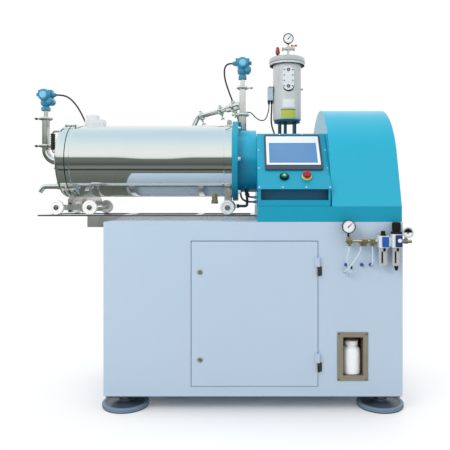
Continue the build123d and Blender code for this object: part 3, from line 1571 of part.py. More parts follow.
with BuildPart() as pressure_gauges:
    add(gauge((CROSS_X, TANK_Y - 10, TANK_GAUGE_Z), 30, 22))
    add(bar(level(TANK_GAUGE_Z - 36), (CROSS_X, TANK_Y), 5, 10))
    add(gauge((AIR_GAUGE_X, AIR_Y - 14, AIR_GAUGE_Z), 31.5, 24))
    add(bar(level(AIR_GAUGE_Z - 46), (AIR_GAUGE_X, AIR_Y), 5, 18))
    add(gauge((INLET_GAUGE_X, AIR_Y - 36, INLET_GAUGE_Z), 25, 16))
    add(bar(level(AIR_Z + 18), (INLET_GAUGE_X, AIR_Y), 5, INLET_GAUGE_Z - AIR_Z - 18))
    add(bar(facing(AIR_Y + 8), (INLET_GAUGE_X, INLET_GAUGE_Z), 7, 29))
pressure_gauges.part.label = "pressure_gauges"
export_step(pressure_gauges.part, "parts/pressure_gauges.step")

# Compressed air unit: a brass manifold with its gauge, a lubricator and a filter regulator with
# clear bowls, and push-in couplings where the tubes pass through the cabinet front.
LUBRICATOR_X = 601.0
FILTER_X = 662.0
MODULE = 24.0
TUBE_STARTS = (444.0, 515.0, 552.0)
BULKHEADS = ((434.0, 688.0), (508.0, 688.0), (549.0, 688.0))
GROMMETS = ((454.0, 641.0), (423.0, 660.0))
SIDE_OUTLET_X = 497.0
MANIFOLD_LEFT = 426.0

with BuildPart() as air_manifold:
    add(bar(across(MANIFOLD_LEFT), (AIR_Y, AIR_Z), 7, LUBRICATOR_X - MODULE - MANIFOLD_LEFT))
    for x in TUBE_STARTS:
        add(block(across(x - 13), (AIR_Y - 12, AIR_Z - 12), (AIR_Y + 12, AIR_Z + 12), 26, corner=2))
        add(hexagon(level(AIR_Z - 22), (x, AIR_Y), 18, 12))
    add(hexagon(level(AIR_Z - 22), (SIDE_OUTLET_X, AIR_Y), 14, 22))
    add(hexagon(level(AIR_Z + 10), (AIR_GAUGE_X, AIR_Y), 20, AIR_GAUGE_Z - 46 - AIR_Z - 10))
    add(hexagon(across(LUBRICATOR_X - MODULE - 14), (AIR_Y, AIR_Z), 24, 14))
    add(bar(facing(FRONT), (530, AIR_Z), 6, FRONT - AIR_Y))
air_manifold.part.label = "air_manifold"
export_step(air_manifold.part, "parts/air_manifold.step")

INLET_END = FILTER_X + MODULE + 46
INLET_BORE = 5.0
COVER_PLATE = 5.0

with BuildPart() as air_unit:
    for x, top in ((LUBRICATOR_X, 826.0), (FILTER_X, 834.0)):
        add(block(level(772), (x - MODULE, AIR_Y - 26), (x + MODULE, AIR_Y + 22), top - 772, corner=5))
        add(block(facing(AIR_Y - 26), (x - 11, 775), (x + 20, top - 4), COVER_PLATE, corner=2))
    add(block(level(778), (LUBRICATOR_X, AIR_Y - 16), (FILTER_X, AIR_Y + 14), 40))
    add(
        turned(
            aimed((LUBRICATOR_X, AIR_Y, 826), (0, 0, 1)),
            [(0, 0), (13, 0), (13, 7), (10, 9), (10, 20), (8, 22), (0, 22)],
        )
    )
    collar = aimed((FILTER_X, AIR_Y, 834), (0, 0, 1))
    add(turned(collar, [(0, 0), (26, 0), (26, 8), (21, 12), (15, 12), (15, 14), (0, 14)]))
    add(bar(across(FILTER_X + MODULE - 2), (AIR_Y, AIR_Z), 10, 18))
    add(hexagon(across(FILTER_X + MODULE + 14), (AIR_Y, AIR_Z), 22, 14))
    add(bar(across(FILTER_X + MODULE + 28), (AIR_Y, AIR_Z), 8, INLET_END - FILTER_X - MODULE - 28))
    add(bar(level(AIR_Z + 8), (INLET_GAUGE_X, AIR_Y), 7, 10))
    add(bar(across(INLET_END - 20), (AIR_Y, AIR_Z), INLET_BORE, 21), mode=Mode.SUBTRACT)
    add(block(facing(FRONT), (LUBRICATOR_X - 10, 780), (FILTER_X + 10, 820), 8))
air_unit.part.label = "air_unit"
export_step(air_unit.part, "parts/air_unit.step")

with BuildPart() as air_bowls:
    for x in (LUBRICATOR_X, FILTER_X):
        add(
            turned(
                aimed((x, AIR_Y, 772), (0, 0, -1)),
                [(0, 0), (22, 0), (22, 14), (20, 16), (20, 80), (17, 84), (0, 84)],
            )
        )
    drain = aimed((FILTER_X, AIR_Y, 688), (0, 0, -1))
    add(turned(drain, [(0, 0), (9, 0), (9, 14), (6, 17), (6, 23), (0, 23)]))
air_bowls.part.label = "air_bowls"
export_step(air_bowls.part, "parts/air_bowls.step")

KNOB_RADIUS = 19.0
KNOB_FOOT = 848.3
KNOB_HEIGHT = 36.0

with BuildPart() as regulator_knob:
    with BuildSketch(level(KNOB_FOOT)):
        with Locations((FILTER_X, AIR_Y)):
            Circle(KNOB_RADIUS)
            with PolarLocations(KNOB_RADIUS, 18):
                Rectangle(2, 2.6)
    extrude(amount=KNOB_HEIGHT)
    crown = aimed((FILTER_X, AIR_Y, KNOB_FOOT + KNOB_HEIGHT), (0, 0, 1))
    add(turned(crown, [(0, 0), (KNOB_RADIUS, 0), (KNOB_RADIUS - 3, 4), (0, 4)]))
regulator_knob.part.label = "regulator_knob"
export_step(regulator_knob.part, "parts/regulator_knob.step")

with BuildPart() as air_bulkheads:
    for at in BULKHEADS:
        add(hexagon(facing(FRONT), at, 15, 5))
        add(bar(facing(FRONT - 5), at, 6, 9))
    for at in GROMMETS:
        add(bar(facing(FRONT), at, 9, 3))
        add(bar(facing(FRONT - 3), at, 7.5, 3))
    add(block(facing(FRONT), (456, 668), (463, 684), 6))
air_bulkheads.part.label = "air_bulkheads"
export_step(air_bulkheads.part, "parts/air_bulkheads.step")

# Cables and hoses, each along its real route between two fittings of the machine. The barrel's
# cable ends in a plug that draws straight out of its socket when the barrel is rolled away.
BARREL_CABLE = [
    (RISER_X + GLAND_REACH, 0, TRANSMITTER_Z["end"] + GLAND_RISE),
    (-1046, 0, TRANSMITTER_Z["end"] + GLAND_RISE),
    (-1016, 14, 1558),
    (-994, 42, 1536),
    (-977, 88, 1500),
    (-964, 142, 1450),
    (-953, 190, 1386),
    (-942, 221, 1308),
    (-924, 238, 1232),
    (-888, 243, 1172),
    (-828, 240, 1140),
    (-755, CABLE_Y, CLIP_Z),
    (-685, CABLE_Y, CLIP_Z),
    (-640, 238, 1118),
    (-565, 238, 1118),
    (-520, CABLE_Y, CLIP_Z),
    (-450, CABLE_Y, CLIP_Z),
    (-405, 238, 1120),
    (-340, 238, 1120),
    (-295, CABLE_Y, CLIP_Z),
    (-228, CABLE_Y, CLIP_Z),
    (-195, SOCKET_Y, SOCKET_Z),
    (-165, SOCKET_Y, SOCKET_Z),
]

with BuildPart() as barrel_cable:
    add(cord("barrel_cable", BARREL_CABLE, 9))
barrel_cable.part.label = "barrel_cable"
export_step(barrel_cable.part, "parts/barrel_cable.step")

with BuildPart() as cable_plug:
    add(
        turned(
            aimed((-165, SOCKET_Y, SOCKET_Z), (1, 0, 0)),
            [(0, 0), (8, 0), (13, 14), (13, FLANGE_LEFT + 4 + 165 - 0.3), (0, FLANGE_LEFT + 4 + 165 - 0.3)],
        )
    )
cable_plug.part.label = "cable_plug"
export_step(cable_plug.part, "parts/cable_plug.step")

NECK_CABLE = [
    (NECK_RISER_X - GLAND_REACH, 0, TRANSMITTER_Z["neck"] + GLAND_RISE),
    (-128, 0, TRANSMITTER_Z["neck"] + GLAND_RISE),
    (-147, 3, 1727),
    (-154, 8, 1696),
    (-149, 14, 1655),
    (-136, 26, 1612),
    (-118, 48, 1566),
    (-98, 88, 1520),
    (-80, 132, 1465),
    (-68, 172, 1402),
    (-60, 203, 1335),
    (-56, 223, 1270),
    (-52, 235, 1222),
    (-43, 238, 1190),
    (-24, 238, 1172),
    (0, 238, 1172),
]

with BuildPart() as neck_cable:
    add(cord("neck_cable", NECK_CABLE, 9))
neck_cable.part.label = "neck_cable"
export_step(neck_cable.part, "parts/neck_cable.step")

TANK_HOSE = [
    (NECK_RISER_X + 28, 0, NIPPLE_Z),
    (-6, 0, NIPPLE_Z),
    (14, 10, 1450),
    (36, 28, 1435),
    (58, 48, 1432),
    (76, 72, 1442),
    (90, 96, 1474),
    (97, 108, 1506),
    (98, 110, 1520),
    (98, 110, 1532),
]
SWITCH_CABLE = [
    (114, 110, 1532),
    (114, 110, 1502),
    (110, 109, 1456),
    (113, 107, 1412),
    (124, 106, 1380),
    (130, 106, 1360),
    (130, 106, 1340),
]

with BuildPart() as tank_lines:
    add(cord("tank_hose", TANK_HOSE, 6))
    add(cord("switch_cable", SWITCH_CABLE, 9))
tank_lines.part.label = "tank_lines"
export_step(tank_lines.part, "parts/tank_lines.step")

SEAL_HOSE_NEAR = [
    (*SEAL_STUBS[0], stub_end(SEAL_STUBS[0][1])),
    (*SEAL_STUBS[0], 1012),
    (-50, -61, 990),
    (-22, -62, 979),
    (8, -62, 979),
]
SEAL_HOSE_FAR = [
    (*SEAL_STUBS[1], stub_end(SEAL_STUBS[1][1])),
    (*SEAL_STUBS[1], 1030),
    (-27, -96, 1013.5),
    (-10.5, -96, 1004),
    (8, -96, 1004),
]

with BuildPart() as seal_hoses:
    add(cord("seal_hose_near", SEAL_HOSE_NEAR, 10))
    add(cord("seal_hose_far", SEAL_HOSE_FAR, 10))
seal_hoses.part.label = "seal_hoses"
export_step(seal_hoses.part, "parts/seal_hoses.step")

AIR_TUBE_ROUTES = {
    "gauge_tube": [
        (444, -480, 778),
        (444, -480, 764),
        (438, -481, 742),
        (433, -482, 716),
        (436, -482, 694),
        (446, -482, 674),
        (452, -482, 660),
        (453, -477, 648),
        (454, -467.6, 641),
        (454, -456, 641),
    ],
    "side_tube": [
        (SIDE_OUTLET_X, -480, 778),
        (SIDE_OUTLET_X, -480, 760),
        (488, -484, 742),
        (475, -490, 724),
        (458, -495, 702),
        (444, -495, 682),
        (432, -488, 668),
        (425, -478, 662),
        (423, -467.6, 660),
        (423, -456, 660),
    ],
    "right_tube": [
        (552, -480, 778),
        (552, -480, 752),
        (551.5, -487, 722),
        (550, -490, 702.6),
        (549.3, -484.6, 693.4),
        (549, -474.4, 688),
        (549, -464, 688),
    ],
}

with BuildPart() as air_tubes:
    for name, route in AIR_TUBE_ROUTES.items():
        add(cord(name, route, 6))
air_tubes.part.label = "air_tubes"
export_step(air_tubes.part, "parts/air_tubes.step")
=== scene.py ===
import json
import math

import bmesh
import bpy
from mathutils import Matrix, Vector

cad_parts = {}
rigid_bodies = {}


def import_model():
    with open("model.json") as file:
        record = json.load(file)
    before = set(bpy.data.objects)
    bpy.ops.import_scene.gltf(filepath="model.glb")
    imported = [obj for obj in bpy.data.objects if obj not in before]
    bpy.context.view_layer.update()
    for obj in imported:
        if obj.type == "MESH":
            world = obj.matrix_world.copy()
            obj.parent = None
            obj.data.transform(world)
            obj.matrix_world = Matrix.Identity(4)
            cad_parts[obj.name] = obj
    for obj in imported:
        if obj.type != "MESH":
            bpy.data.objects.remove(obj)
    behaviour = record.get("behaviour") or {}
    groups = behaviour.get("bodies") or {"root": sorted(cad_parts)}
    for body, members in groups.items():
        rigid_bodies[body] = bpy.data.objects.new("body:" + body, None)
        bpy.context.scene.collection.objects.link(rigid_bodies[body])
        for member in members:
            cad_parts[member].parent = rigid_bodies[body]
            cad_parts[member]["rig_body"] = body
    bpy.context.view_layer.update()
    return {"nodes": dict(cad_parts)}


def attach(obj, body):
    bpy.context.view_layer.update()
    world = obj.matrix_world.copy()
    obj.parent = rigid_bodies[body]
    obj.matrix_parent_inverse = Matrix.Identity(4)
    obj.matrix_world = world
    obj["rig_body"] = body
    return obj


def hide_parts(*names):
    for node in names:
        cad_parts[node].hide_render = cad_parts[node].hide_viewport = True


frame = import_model()
nodes = frame["nodes"]
MM = 0.001

# Camera: the photograph was taken level, three metres in front of the shaft and a little below
# it, so the picture is shifted to take in the feet and the tank without leaning the camera.
def placed(name, data):
    """A new object in the scene."""
    item = bpy.data.objects.new(name, data)
    bpy.context.scene.collection.objects.link(item)
    return item


PHOTO_SIDE = 450
FOCAL_PIXELS = 543
VANISHING_PIXEL = (246, 198)
SENSOR = 36
EYE = Vector((-33, -2990, 1000)) * MM

camera = placed("camera", bpy.data.cameras.new("camera"))
camera.data.sensor_width = SENSOR
camera.data.lens = FOCAL_PIXELS / PHOTO_SIDE * SENSOR
camera.data.shift_x = (PHOTO_SIDE / 2 - VANISHING_PIXEL[0]) / PHOTO_SIDE
camera.data.shift_y = (VANISHING_PIXEL[1] - PHOTO_SIDE / 2) / PHOTO_SIDE
camera.location = EYE
camera.rotation_euler = (math.radians(90), 0, 0)
bpy.context.scene.camera = camera


# Floor: a plain pale one, which the camera sees pure white away from the machine. Polished metal
# sees a darker workshop floor in its place, with the bands of an aisle.
def tree_node(tree, kind, values=None, **traits):
    """A new node of a tree, with its traits and the values of its inputs."""
    made = tree.nodes.new(kind)
    for trait, value in traits.items():
        setattr(made, trait, value)
    for socket, value in (values or {}).items():
        made.inputs[socket].default_value = value
    return made


def graded(tree, first, last, marks):
    """A colour ramp between two end colours, with marks as (position, colour) on the way."""
    ramp = tree_node(tree, "ShaderNodeValToRGB")
    for end, colour in enumerate((first, last)):
        ramp.color_ramp.elements[end].color = (*colour, 1)
    for position, colour in marks:
        ramp.color_ramp.elements.new(position).color = (*colour, 1)
    return ramp


def wire(tree, *links):
    """Links in a tree, each given as a node and its output, then a node and its input."""
    for start, output, end, entry in links:
        tree.links.new(start.outputs[output], end.inputs[entry])


STUDIO_HALF = 30.0
FLOOR_WHITE = (0.90, 0.91, 0.92, 1)
FLOOR_FAR = (0.17, 0.19, 0.17)
FLOOR_NEAR = (0.105, 0.12, 0.10)
GREENISH = 1.12
AISLE = (
    (0.08, 0.17), (0.30, 0.07), (0.45, 0.09), (0.60, 0.15), (0.69, 0.15), (0.71, 0.02), (0.745, 0.02),
    (0.76, 0.13),
)

floor_mesh = bpy.data.meshes.new("floor")
floor_corners = [(x * STUDIO_HALF, y * STUDIO_HALF, 0) for x, y in ((-1, -1), (1, -1), (1, 1), (-1, 1))]
floor_mesh.from_pydata(floor_corners, [], [(0, 1, 2, 3)])
floor = placed("floor", floor_mesh)
floor_finish = bpy.data.materials.new("pale_floor")
floor_finish.use_nodes = True
floor_tree = floor_finish.node_tree
floor_shader = floor_tree.nodes["Principled BSDF"]
floor_shader.inputs["Roughness"].default_value = 0.9
floor_shader.inputs["Specular IOR Level"].default_value = 0.1
floor_rays = tree_node(floor_tree, "ShaderNodeLightPath")
floor_tint = tree_node(floor_tree, "ShaderNodeMix", {6: FLOOR_WHITE}, data_type="RGBA")
floor_place = tree_node(floor_tree, "ShaderNodeTexCoord")
floor_split = tree_node(floor_tree, "ShaderNodeSeparateXYZ")
aisle = tree_node(floor_tree, "ShaderNodeMapRange", {"From Min": -8.0, "From Max": 0.0})
aisle_marks = [(position, (level, level * GREENISH, level)) for position, level in AISLE]
aisle_ramp = graded(floor_tree, FLOOR_FAR, FLOOR_NEAR, aisle_marks)
far_off = tree_node(floor_tree, "ShaderNodeVectorMath", operation="LENGTH")
clearing = tree_node(
    floor_tree, "ShaderNodeMapRange", {"From Min": 0.45, "From Max": 1.3},
    interpolation_type="SMOOTHSTEP",
)
seen_far = tree_node(floor_tree, "ShaderNodeMath", operation="MULTIPLY")
pure_white = tree_node(floor_tree, "ShaderNodeEmission")
floor_blend = tree_node(floor_tree, "ShaderNodeMixShader")
wire(
    floor_tree,
    (floor_place, "Object", floor_split, 0),
    (floor_split, "Y", aisle, "Value"),
    (aisle, 0, aisle_ramp, 0),
    (aisle_ramp, 0, floor_tint, 7),
    (floor_rays, "Is Glossy Ray", floor_tint, 0),
    (floor_tint, 2, floor_shader, "Base Color"),
    (floor_place, "Object", far_off, 0),
    (far_off, "Value", clearing, "Value"),
    (clearing, 0, seen_far, 0),
    (floor_rays, "Is Camera Ray", seen_far, 1),
    (seen_far, 0, floor_blend, 0),
    (floor_shader, 0, floor_blend, 1),
    (pure_white, 0, floor_blend, 2),
    (floor_blend, 0, floor_tree.nodes["Material Output"], "Surface"),
)
floor_mesh.materials.append(floor_finish)

# Surround: white to the camera. Polished metal sees a workshop's banded walls under a bright roof,
# with one low opening in them, and matt paint gets a little less light.
WHITE = (1, 1, 1, 1)
DARK = (0, 0, 0)
WALL_FOOT = (0.16, 0.18, 0.17)
ROOF = (0.64, 0.82, 0.94)
WALL_BANDS = (
    (0.13, (0.17, 0.19, 0.175)),
    (0.158, (0.78, 0.79, 0.75)),
    (0.25, (0.93, 0.96, 0.93)),
    (0.42, (0.94, 0.975, 0.955)),
    (0.71, (0.84, 0.96, 0.965)),
    (0.91, (0.72, 0.885, 0.95)),
)
OPENING = ((0.77, 0.0), (0.81, 0.075), (0.86, 0.075), (0.90, 0.0))
SKY_LIGHT = 0.62

world = bpy.data.worlds.new("studio")
bpy.context.scene.world = world
world.use_nodes = True
sky_tree = world.node_tree
sky = sky_tree.nodes["Background"]
sky_rays = tree_node(sky_tree, "ShaderNodeLightPath")
sky_place = tree_node(sky_tree, "ShaderNodeTexCoord")
sky_split = tree_node(sky_tree, "ShaderNodeSeparateXYZ")
sky_ramp = graded(sky_tree, WALL_FOOT, ROOF, WALL_BANDS)
opening = graded(sky_tree, DARK, DARK, [(position, (level,) * 3) for position, level in OPENING])
turned_x = tree_node(sky_tree, "ShaderNodeMath", {1: 1.0}, operation="ADD")
raised = tree_node(sky_tree, "ShaderNodeMath", operation="ADD")
overhead = tree_node(
    sky_tree, "ShaderNodeMapRange", {"From Min": 0.25, "From Max": 1.2}, interpolation_type="SMOOTHSTEP",
)
near_horizon = tree_node(
    sky_tree, "ShaderNodeMapRange", {"From Min": 0.155, "From Max": 0.30, "To Min": 1.0, "To Max": 0.0},
)
low_opening = tree_node(sky_tree, "ShaderNodeMath", operation="MULTIPLY")
sky_bright = tree_node(sky_tree, "ShaderNodeMix", {7: WHITE}, data_type="RGBA")
sky_tint = tree_node(sky_tree, "ShaderNodeMix", {6: WHITE}, data_type="RGBA")
sky_level = tree_node(sky_tree, "ShaderNodeMapRange", {"To Min": 1.0, "To Max": SKY_LIGHT})
wire(
    sky_tree,
    (sky_place, "Generated", sky_split, 0),
    (sky_split, "X", turned_x, 0),
    (turned_x, 0, opening, 0),
    (opening, 0, low_opening, 0),
    (sky_split, "Z", near_horizon, "Value"),
    (near_horizon, 0, low_opening, 1),
    (low_opening, 0, raised, 0),
    (sky_split, "Z", raised, 1),
    (raised, 0, sky_ramp, 0),
    (sky_split, "Y", overhead, "Value"),
    (overhead, 0, sky_bright, 0),
    (sky_ramp, 0, sky_bright, 6),
    (sky_rays, "Is Glossy Ray", sky_tint, 0),
    (sky_bright, 2, sky_tint, 7),
    (sky_tint, 2, sky, "Color"),
    (sky_rays, "Is Diffuse Ray", sky_level, "Value"),
    (sky_level, 0, sky, "Strength"),
)


# Lamps: four broad soft ones, the key at the front left, the fill at the front right, and one above
# and one behind. Polished metal doesn't see them.
def lamp(name, place, aim, size, watts):
    """A square soft lamp at a place, turned to a point."""
    light = bpy.data.lights.new(name, "AREA")
    light.size = size
    light.energy = watts
    item = placed(name, light)
    item.location = place
    item.rotation_euler = (Vector(aim) - Vector(place)).to_track_quat("-Z", "Y").to_euler()
    item.visible_glossy = False


lamp("key_lamp", (-2.9, -3.4, 3.6), (0, 0, 0.9), 2.4, 122)
lamp("fill_lamp", (3.4, -3.2, 2.2), (0.2, 0, 0.9), 3.0, 34)
lamp("top_lamp", (0.2, 0.6, 4.4), (0, 0, 1), 3.2, 70)
lamp("back_lamp", (1.0, 4.2, 3.0), (0, 0, 1), 3.0, 60)
bpy.context.scene.view_settings.view_transform = "Standard"


# Cabinet: folded and welded sheet, sprayed pale blue. Its edges are the soft radii of the fold,
# and the sprayed coat has a faint orange peel.
def new_tree(name, kind, inputs, outputs):
    """An empty tree of nodes with named sockets, which have a value where one is given."""
    tree = bpy.data.node_groups.new(name, kind)
    for way, sockets in (("INPUT", inputs), ("OUTPUT", outputs)):
        for label, sort, *value in sockets:
            socket = tree.interface.new_socket(label, in_out=way, socket_type="NodeSocket" + sort)
            if value:
                socket.default_value = value[0]
    return tree, tree.nodes.new("NodeGroupInput"), tree.nodes.new("NodeGroupOutput")


uneven, uneven_in, uneven_out = new_tree(
    "uneven_surface", "ShaderNodeTree",
    [
        ("Vector", "Vector", (0, 0, 0)), ("Stretch", "Vector", (1, 1, 1)), ("Patch Scale", "Float", 5.0),
        ("Grain Scale", "Float", 400.0),
    ],
    [("Patches", "Float"), ("Grain", "Float")],
)
patch_noise = tree_node(uneven, "ShaderNodeTexNoise", {"Detail": 3.0})
grain_noise = tree_node(uneven, "ShaderNodeTexNoise", {"Detail": 4.0})
stretcher = tree_node(uneven, "ShaderNodeVectorMath", operation="MULTIPLY")
wire(
    uneven,
    (uneven_in, "Vector", patch_noise, "Vector"),
    (uneven_in, "Patch Scale", patch_noise, "Scale"),
    (uneven_in, "Vector", stretcher, 0),
    (uneven_in, "Stretch", stretcher, 1),
    (stretcher, 0, grain_noise, "Vector"),
    (uneven_in, "Grain Scale", grain_noise, "Scale"),
    (patch_noise, 0, uneven_out, "Patches"),
    (grain_noise, 0, uneven_out, "Grain"),
)


def finish(
    name, colour, shade, rough=(0.3, 0.4), patch=5.0, grain=400.0, stretch=(1, 1, 1), relief=0.02,
    metal=0.0, also=None,
):
    """A finish whose colour and gloss drift slowly over the surface, with a fine relief in mm."""
    made = bpy.data.materials.new(name)
    made.use_nodes = True
    tree = made.node_tree
    shader = tree.nodes["Principled BSDF"]
    for socket, value in {"Metallic": metal, **(also or {})}.items():
        shader.inputs[socket].default_value = value
    place = tree_node(tree, "ShaderNodeTexCoord")
    scales = {"Stretch": stretch, "Patch Scale": patch, "Grain Scale": grain}
    surface = tree_node(tree, "ShaderNodeGroup", scales, node_tree=uneven)
    tint = tree_node(tree, "ShaderNodeMix", {6: (*colour, 1), 7: (*shade, 1)}, data_type="RGBA")
    drift = {"From Min": 0.3, "From Max": 0.7, "To Min": rough[0], "To Max": rough[1]}
    gloss = tree_node(tree, "ShaderNodeMapRange", drift)
    bump = tree_node(tree, "ShaderNodeBump", {"Distance": relief * MM})
    wire(
        tree,
        (place, "Object", surface, "Vector"),
        (surface, "Patches", tint, 0),
        (tint, 2, shader, "Base Color"),
        (surface, "Patches", gloss, "Value"),
        (gloss, 0, shader, "Roughness"),
        (surface, "Grain", bump, "Height"),
        (bump, 0, shader, "Normal"),
    )
    return made


def worked(mesh, kind, inputs=(), **traits):
    """The plain mesh that a modifier makes, its inputs given as (identifier, value)."""
    item = placed("work", mesh)
    modifier = item.modifiers.new("work", kind)
    for trait, value in traits.items():
        setattr(modifier, trait, value)
    for identifier, value in inputs:
        modifier[identifier] = value
    bpy.context.view_layer.update()
    made = bpy.data.meshes.new_from_object(item.evaluated_get(bpy.context.evaluated_depsgraph_get()))
    bpy.data.objects.remove(item)
    return made


SHARP = math.radians(35)


def piece(name, shapes, body, made, replaced, ease=0.6, areas=()):
    """Shapes joined into one finished piece that rides on a body and may stand for CAD nodes.

    Its sharp edges are rounded to a width in mm. An area is another finish and the low and high
    corners in mm of the faces that take it.
    """
    whole = bmesh.new()
    for shape in shapes:
        mesh = bpy.data.meshes.new(name)
        shape.to_mesh(mesh)
        shape.free()
        if ease:
            mesh = worked(
                mesh, "BEVEL", width=ease * MM, segments=2, limit_method="ANGLE", angle_limit=SHARP,
            )
        whole.from_mesh(mesh)
    mesh = bpy.data.meshes.new(name)
    whole.to_mesh(mesh)
    whole.free()
    mesh.shade_smooth()
    mesh.set_sharp_from_angle(angle=SHARP)
    mesh = worked(mesh, "WEIGHTED_NORMAL", keep_sharp=True)
    mesh.materials.clear()
    mesh.materials.append(made)
    for other, low, high in areas:
        if other.name not in mesh.materials:
            mesh.materials.append(other)
        for face in mesh.polygons:
            if all(low[k] <= face.center[k] / MM <= high[k] for k in range(3)):
                face.material_index = mesh.materials.find(other.name)
    item = placed(name, mesh)
    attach(item, body)
    for node in replaced:
        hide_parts(node)


def own_shape(node):
    """The shape of a CAD node, with its triangles joined and its flat faces made whole."""
    shape = bmesh.new()
    shape.from_mesh(nodes[node].data)
    bmesh.ops.remove_doubles(shape, verts=shape.verts, dist=0.01 * MM)
    bmesh.ops.dissolve_limit(shape, angle_limit=math.radians(0.5), verts=shape.verts, edges=shape.edges)
    return shape


def dressed(node, made, ease=0.8, areas=()):
    """A CAD node shown in its own shape, with its edges eased and its finish on."""
    piece(node + "_eased", [own_shape(node)], nodes[node]["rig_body"], made, [node], ease, areas)


pale_blue = finish(
    "cabinet_paint", (0.415, 0.528, 0.645), (0.448, 0.556, 0.668), (0.34, 0.42), patch=1.2, grain=260.0,
    relief=0.05, also={"Coat Weight": 0.15, "Coat Roughness": 0.2},
)
satin_steel = finish(
    "satin_stainless", (0.76, 0.75, 0.73), (0.86, 0.85, 0.83), (0.24, 0.34), patch=18.0, grain=350.0,
    stretch=(1, 1, 12), relief=0.01, metal=1.0,
)
dark_steel = finish("dark_steel", (0.13, 0.13, 0.14), (0.20, 0.20, 0.21), (0.3, 0.45), metal=1.0)
black_rubber = finish("black_rubber", (0.018, 0.018, 0.02), (0.03, 0.03, 0.032), (0.55, 0.7), relief=0.05)
dressed("cabinet_shell", pale_blue, ease=1.6)
dressed("cabinet_door", pale_blue, ease=1.2)
HINGE_HEIGHTS = (189, 637)
HINGE_LENGTH = 85
lower_knuckles = [(dark_steel, (290, -480, z), (320, -430, z + HINGE_LENGTH / 2)) for z in HINGE_HEIGHTS]
dressed("door_hinges", satin_steel, ease=0.6, areas=lower_knuckles)
for lock in ("door_lock_lower", "door_lock_upper"):
    dressed(lock, satin_steel, ease=0.5)


# Door seal: a moulded black rubber strip pressed on behind the edge of the door's opening. It shows
# as the dark line round the door, and is painted shade too: its darkness stands in for the gap's shadow.
def bridged(shape, lower, upper, closed=True):
    """Faces between two rows of as many corners, which are rings where they are closed."""
    for here in range(len(lower) if closed else len(lower) - 1):
        beyond = (here + 1) % len(lower)
        shape.faces.new((lower[here], lower[beyond], upper[beyond], upper[here]))


def outward(shape):
    """A closed shape with its faces turned outwards."""
    bmesh.ops.recalc_face_normals(shape, faces=shape.faces)
    return shape


def slab(outline, start, depth, axis, hole=None):
    """A flat-sided slab, deep along y or z, from an outline in mm in the two other axes.

    A hole is an outline of as many points, and goes right through.
    """
    shape = bmesh.new()
    edges = []
    for edge in (outline, hole) if hole else (outline,):
        rims = []
        for reach in (start, start + depth):
            spots = [(a, reach, b) if axis == "y" else (a, b, reach) for a, b in edge]
            rims.append([shape.verts.new(Vector(spot) * MM) for spot in spots])
        bridged(shape, *rims)
        edges.append(rims)
    for end in (0, 1):
        if hole:
            bridged(shape, edges[0][end], edges[1][end])
        else:
            shape.faces.new(edges[0][end])
    return outward(shape)


def rounded(middle, width, height, corner, steps=8):
    """The outline of a rectangle with round corners."""
    spots = []
    for quarter, (across, up) in enumerate(((1, 1), (-1, 1), (-1, -1), (1, -1))):
        centre_x = middle[0] + across * (width / 2 - corner)
        centre_y = middle[1] + up * (height / 2 - corner)
        for step in range(steps + 1):
            angle = math.pi / 2 * (quarter + step / steps)
            spots.append((centre_x + corner * math.cos(angle), centre_y + corner * math.sin(angle)))
    return spots


DOOR_MIDDLE = (7, 459)
SEAL_FACE = -445.8
seal_outside = rounded(DOOR_MIDDLE, 612, 698, 4)
seal_inside = rounded(DOOR_MIDDLE, 591, 677, 3)
seal_shade_shape = slab(seal_outside, SEAL_FACE, 4, "y", seal_inside)
piece("door_seal_shade", [seal_shade_shape], "machine", black_rubber, [], ease=0.4)


# Levelling feet: pressed steel pads sprayed blue-grey over a rubber ring, with turned spindles,
# hexagon nuts and welded plates.
UP = (0, 0, 1)
LEFT = (-1, 0, 0)
RIGHT = (1, 0, 0)
FRONT = (0, -1, 0)
BACK = (0, 1, 0)


def standing(at, way):
    """The place of a shape whose height runs one way from a point in mm."""
    turned = Vector(UP).rotation_difference(Vector(way)).to_matrix().to_4x4()
    return Matrix.Translation(Vector(at) * MM) @ turned


def spun(outline, at, way=UP, steps=72):
    """A turned shape: (radius, height) pairs in mm, spun round a line through a point in mm."""
    shape = bmesh.new()
    place = standing(at, way)
    rings = []
    for radius, height in outline:
        count = steps if radius > 0.001 else 1
        angles = [2 * math.pi * (turned + 0.5) / steps for turned in range(count)]
        spots = [Vector((radius * math.cos(a), radius * math.sin(a), height)) * MM for a in angles]
        rings.append([shape.verts.new(place @ spot) for spot in spots])
    for lower, upper in zip(rings, rings[1:] + rings[:1]):
        if len(lower) == len(upper) == 1:
            continue
        for here in range(steps):
            beyond = (here + 1) % steps
            loop = [lower[here % len(lower)], lower[beyond % len(lower)]]
            loop += [upper[beyond % len(upper)], upper[here % len(upper)]]
            shape.faces.new(list(dict.fromkeys(loop)))
    return outward(shape)


FOOT_X = 613
FOOT_Y = 368
PAD_RADIUS = 111
RIM_INSIDE = 92
feet = [(x, y, 0) for x in (-FOOT_X, FOOT_X) for y in (-FOOT_Y, FOOT_Y)]
pad_rim = finish("pad_rim", (0.13, 0.20, 0.27), (0.17, 0.25, 0.33), (0.3, 0.42), patch=9.0, relief=0.03)
# The dish's finish is a darker copy of the rim's blue-grey paint: painted shade on the pad's top.
pad_dish_shaded = finish(
    "pad_dish_shaded", (0.05, 0.075, 0.115), (0.08, 0.11, 0.16), (0.3, 0.42), patch=9.0, relief=0.03,
)
rim_outline = [
    (RIM_INSIDE, 4), (PAD_RADIUS - 2, 4), (PAD_RADIUS, 6), (PAD_RADIUS, 20), (PAD_RADIUS - 3, 24),
    (100, 24), (RIM_INSIDE, 20),
]
dish_outline = [
    (0, 4), (RIM_INSIDE, 4), (RIM_INSIDE, 20), (60, 22), (38, 27), (33, 30), (30, 38), (0, 38),
]
ring_outline = [(0, 0), (PAD_RADIUS - 4, 0), (PAD_RADIUS - 3, 1), (PAD_RADIUS - 3, 4), (0, 4)]
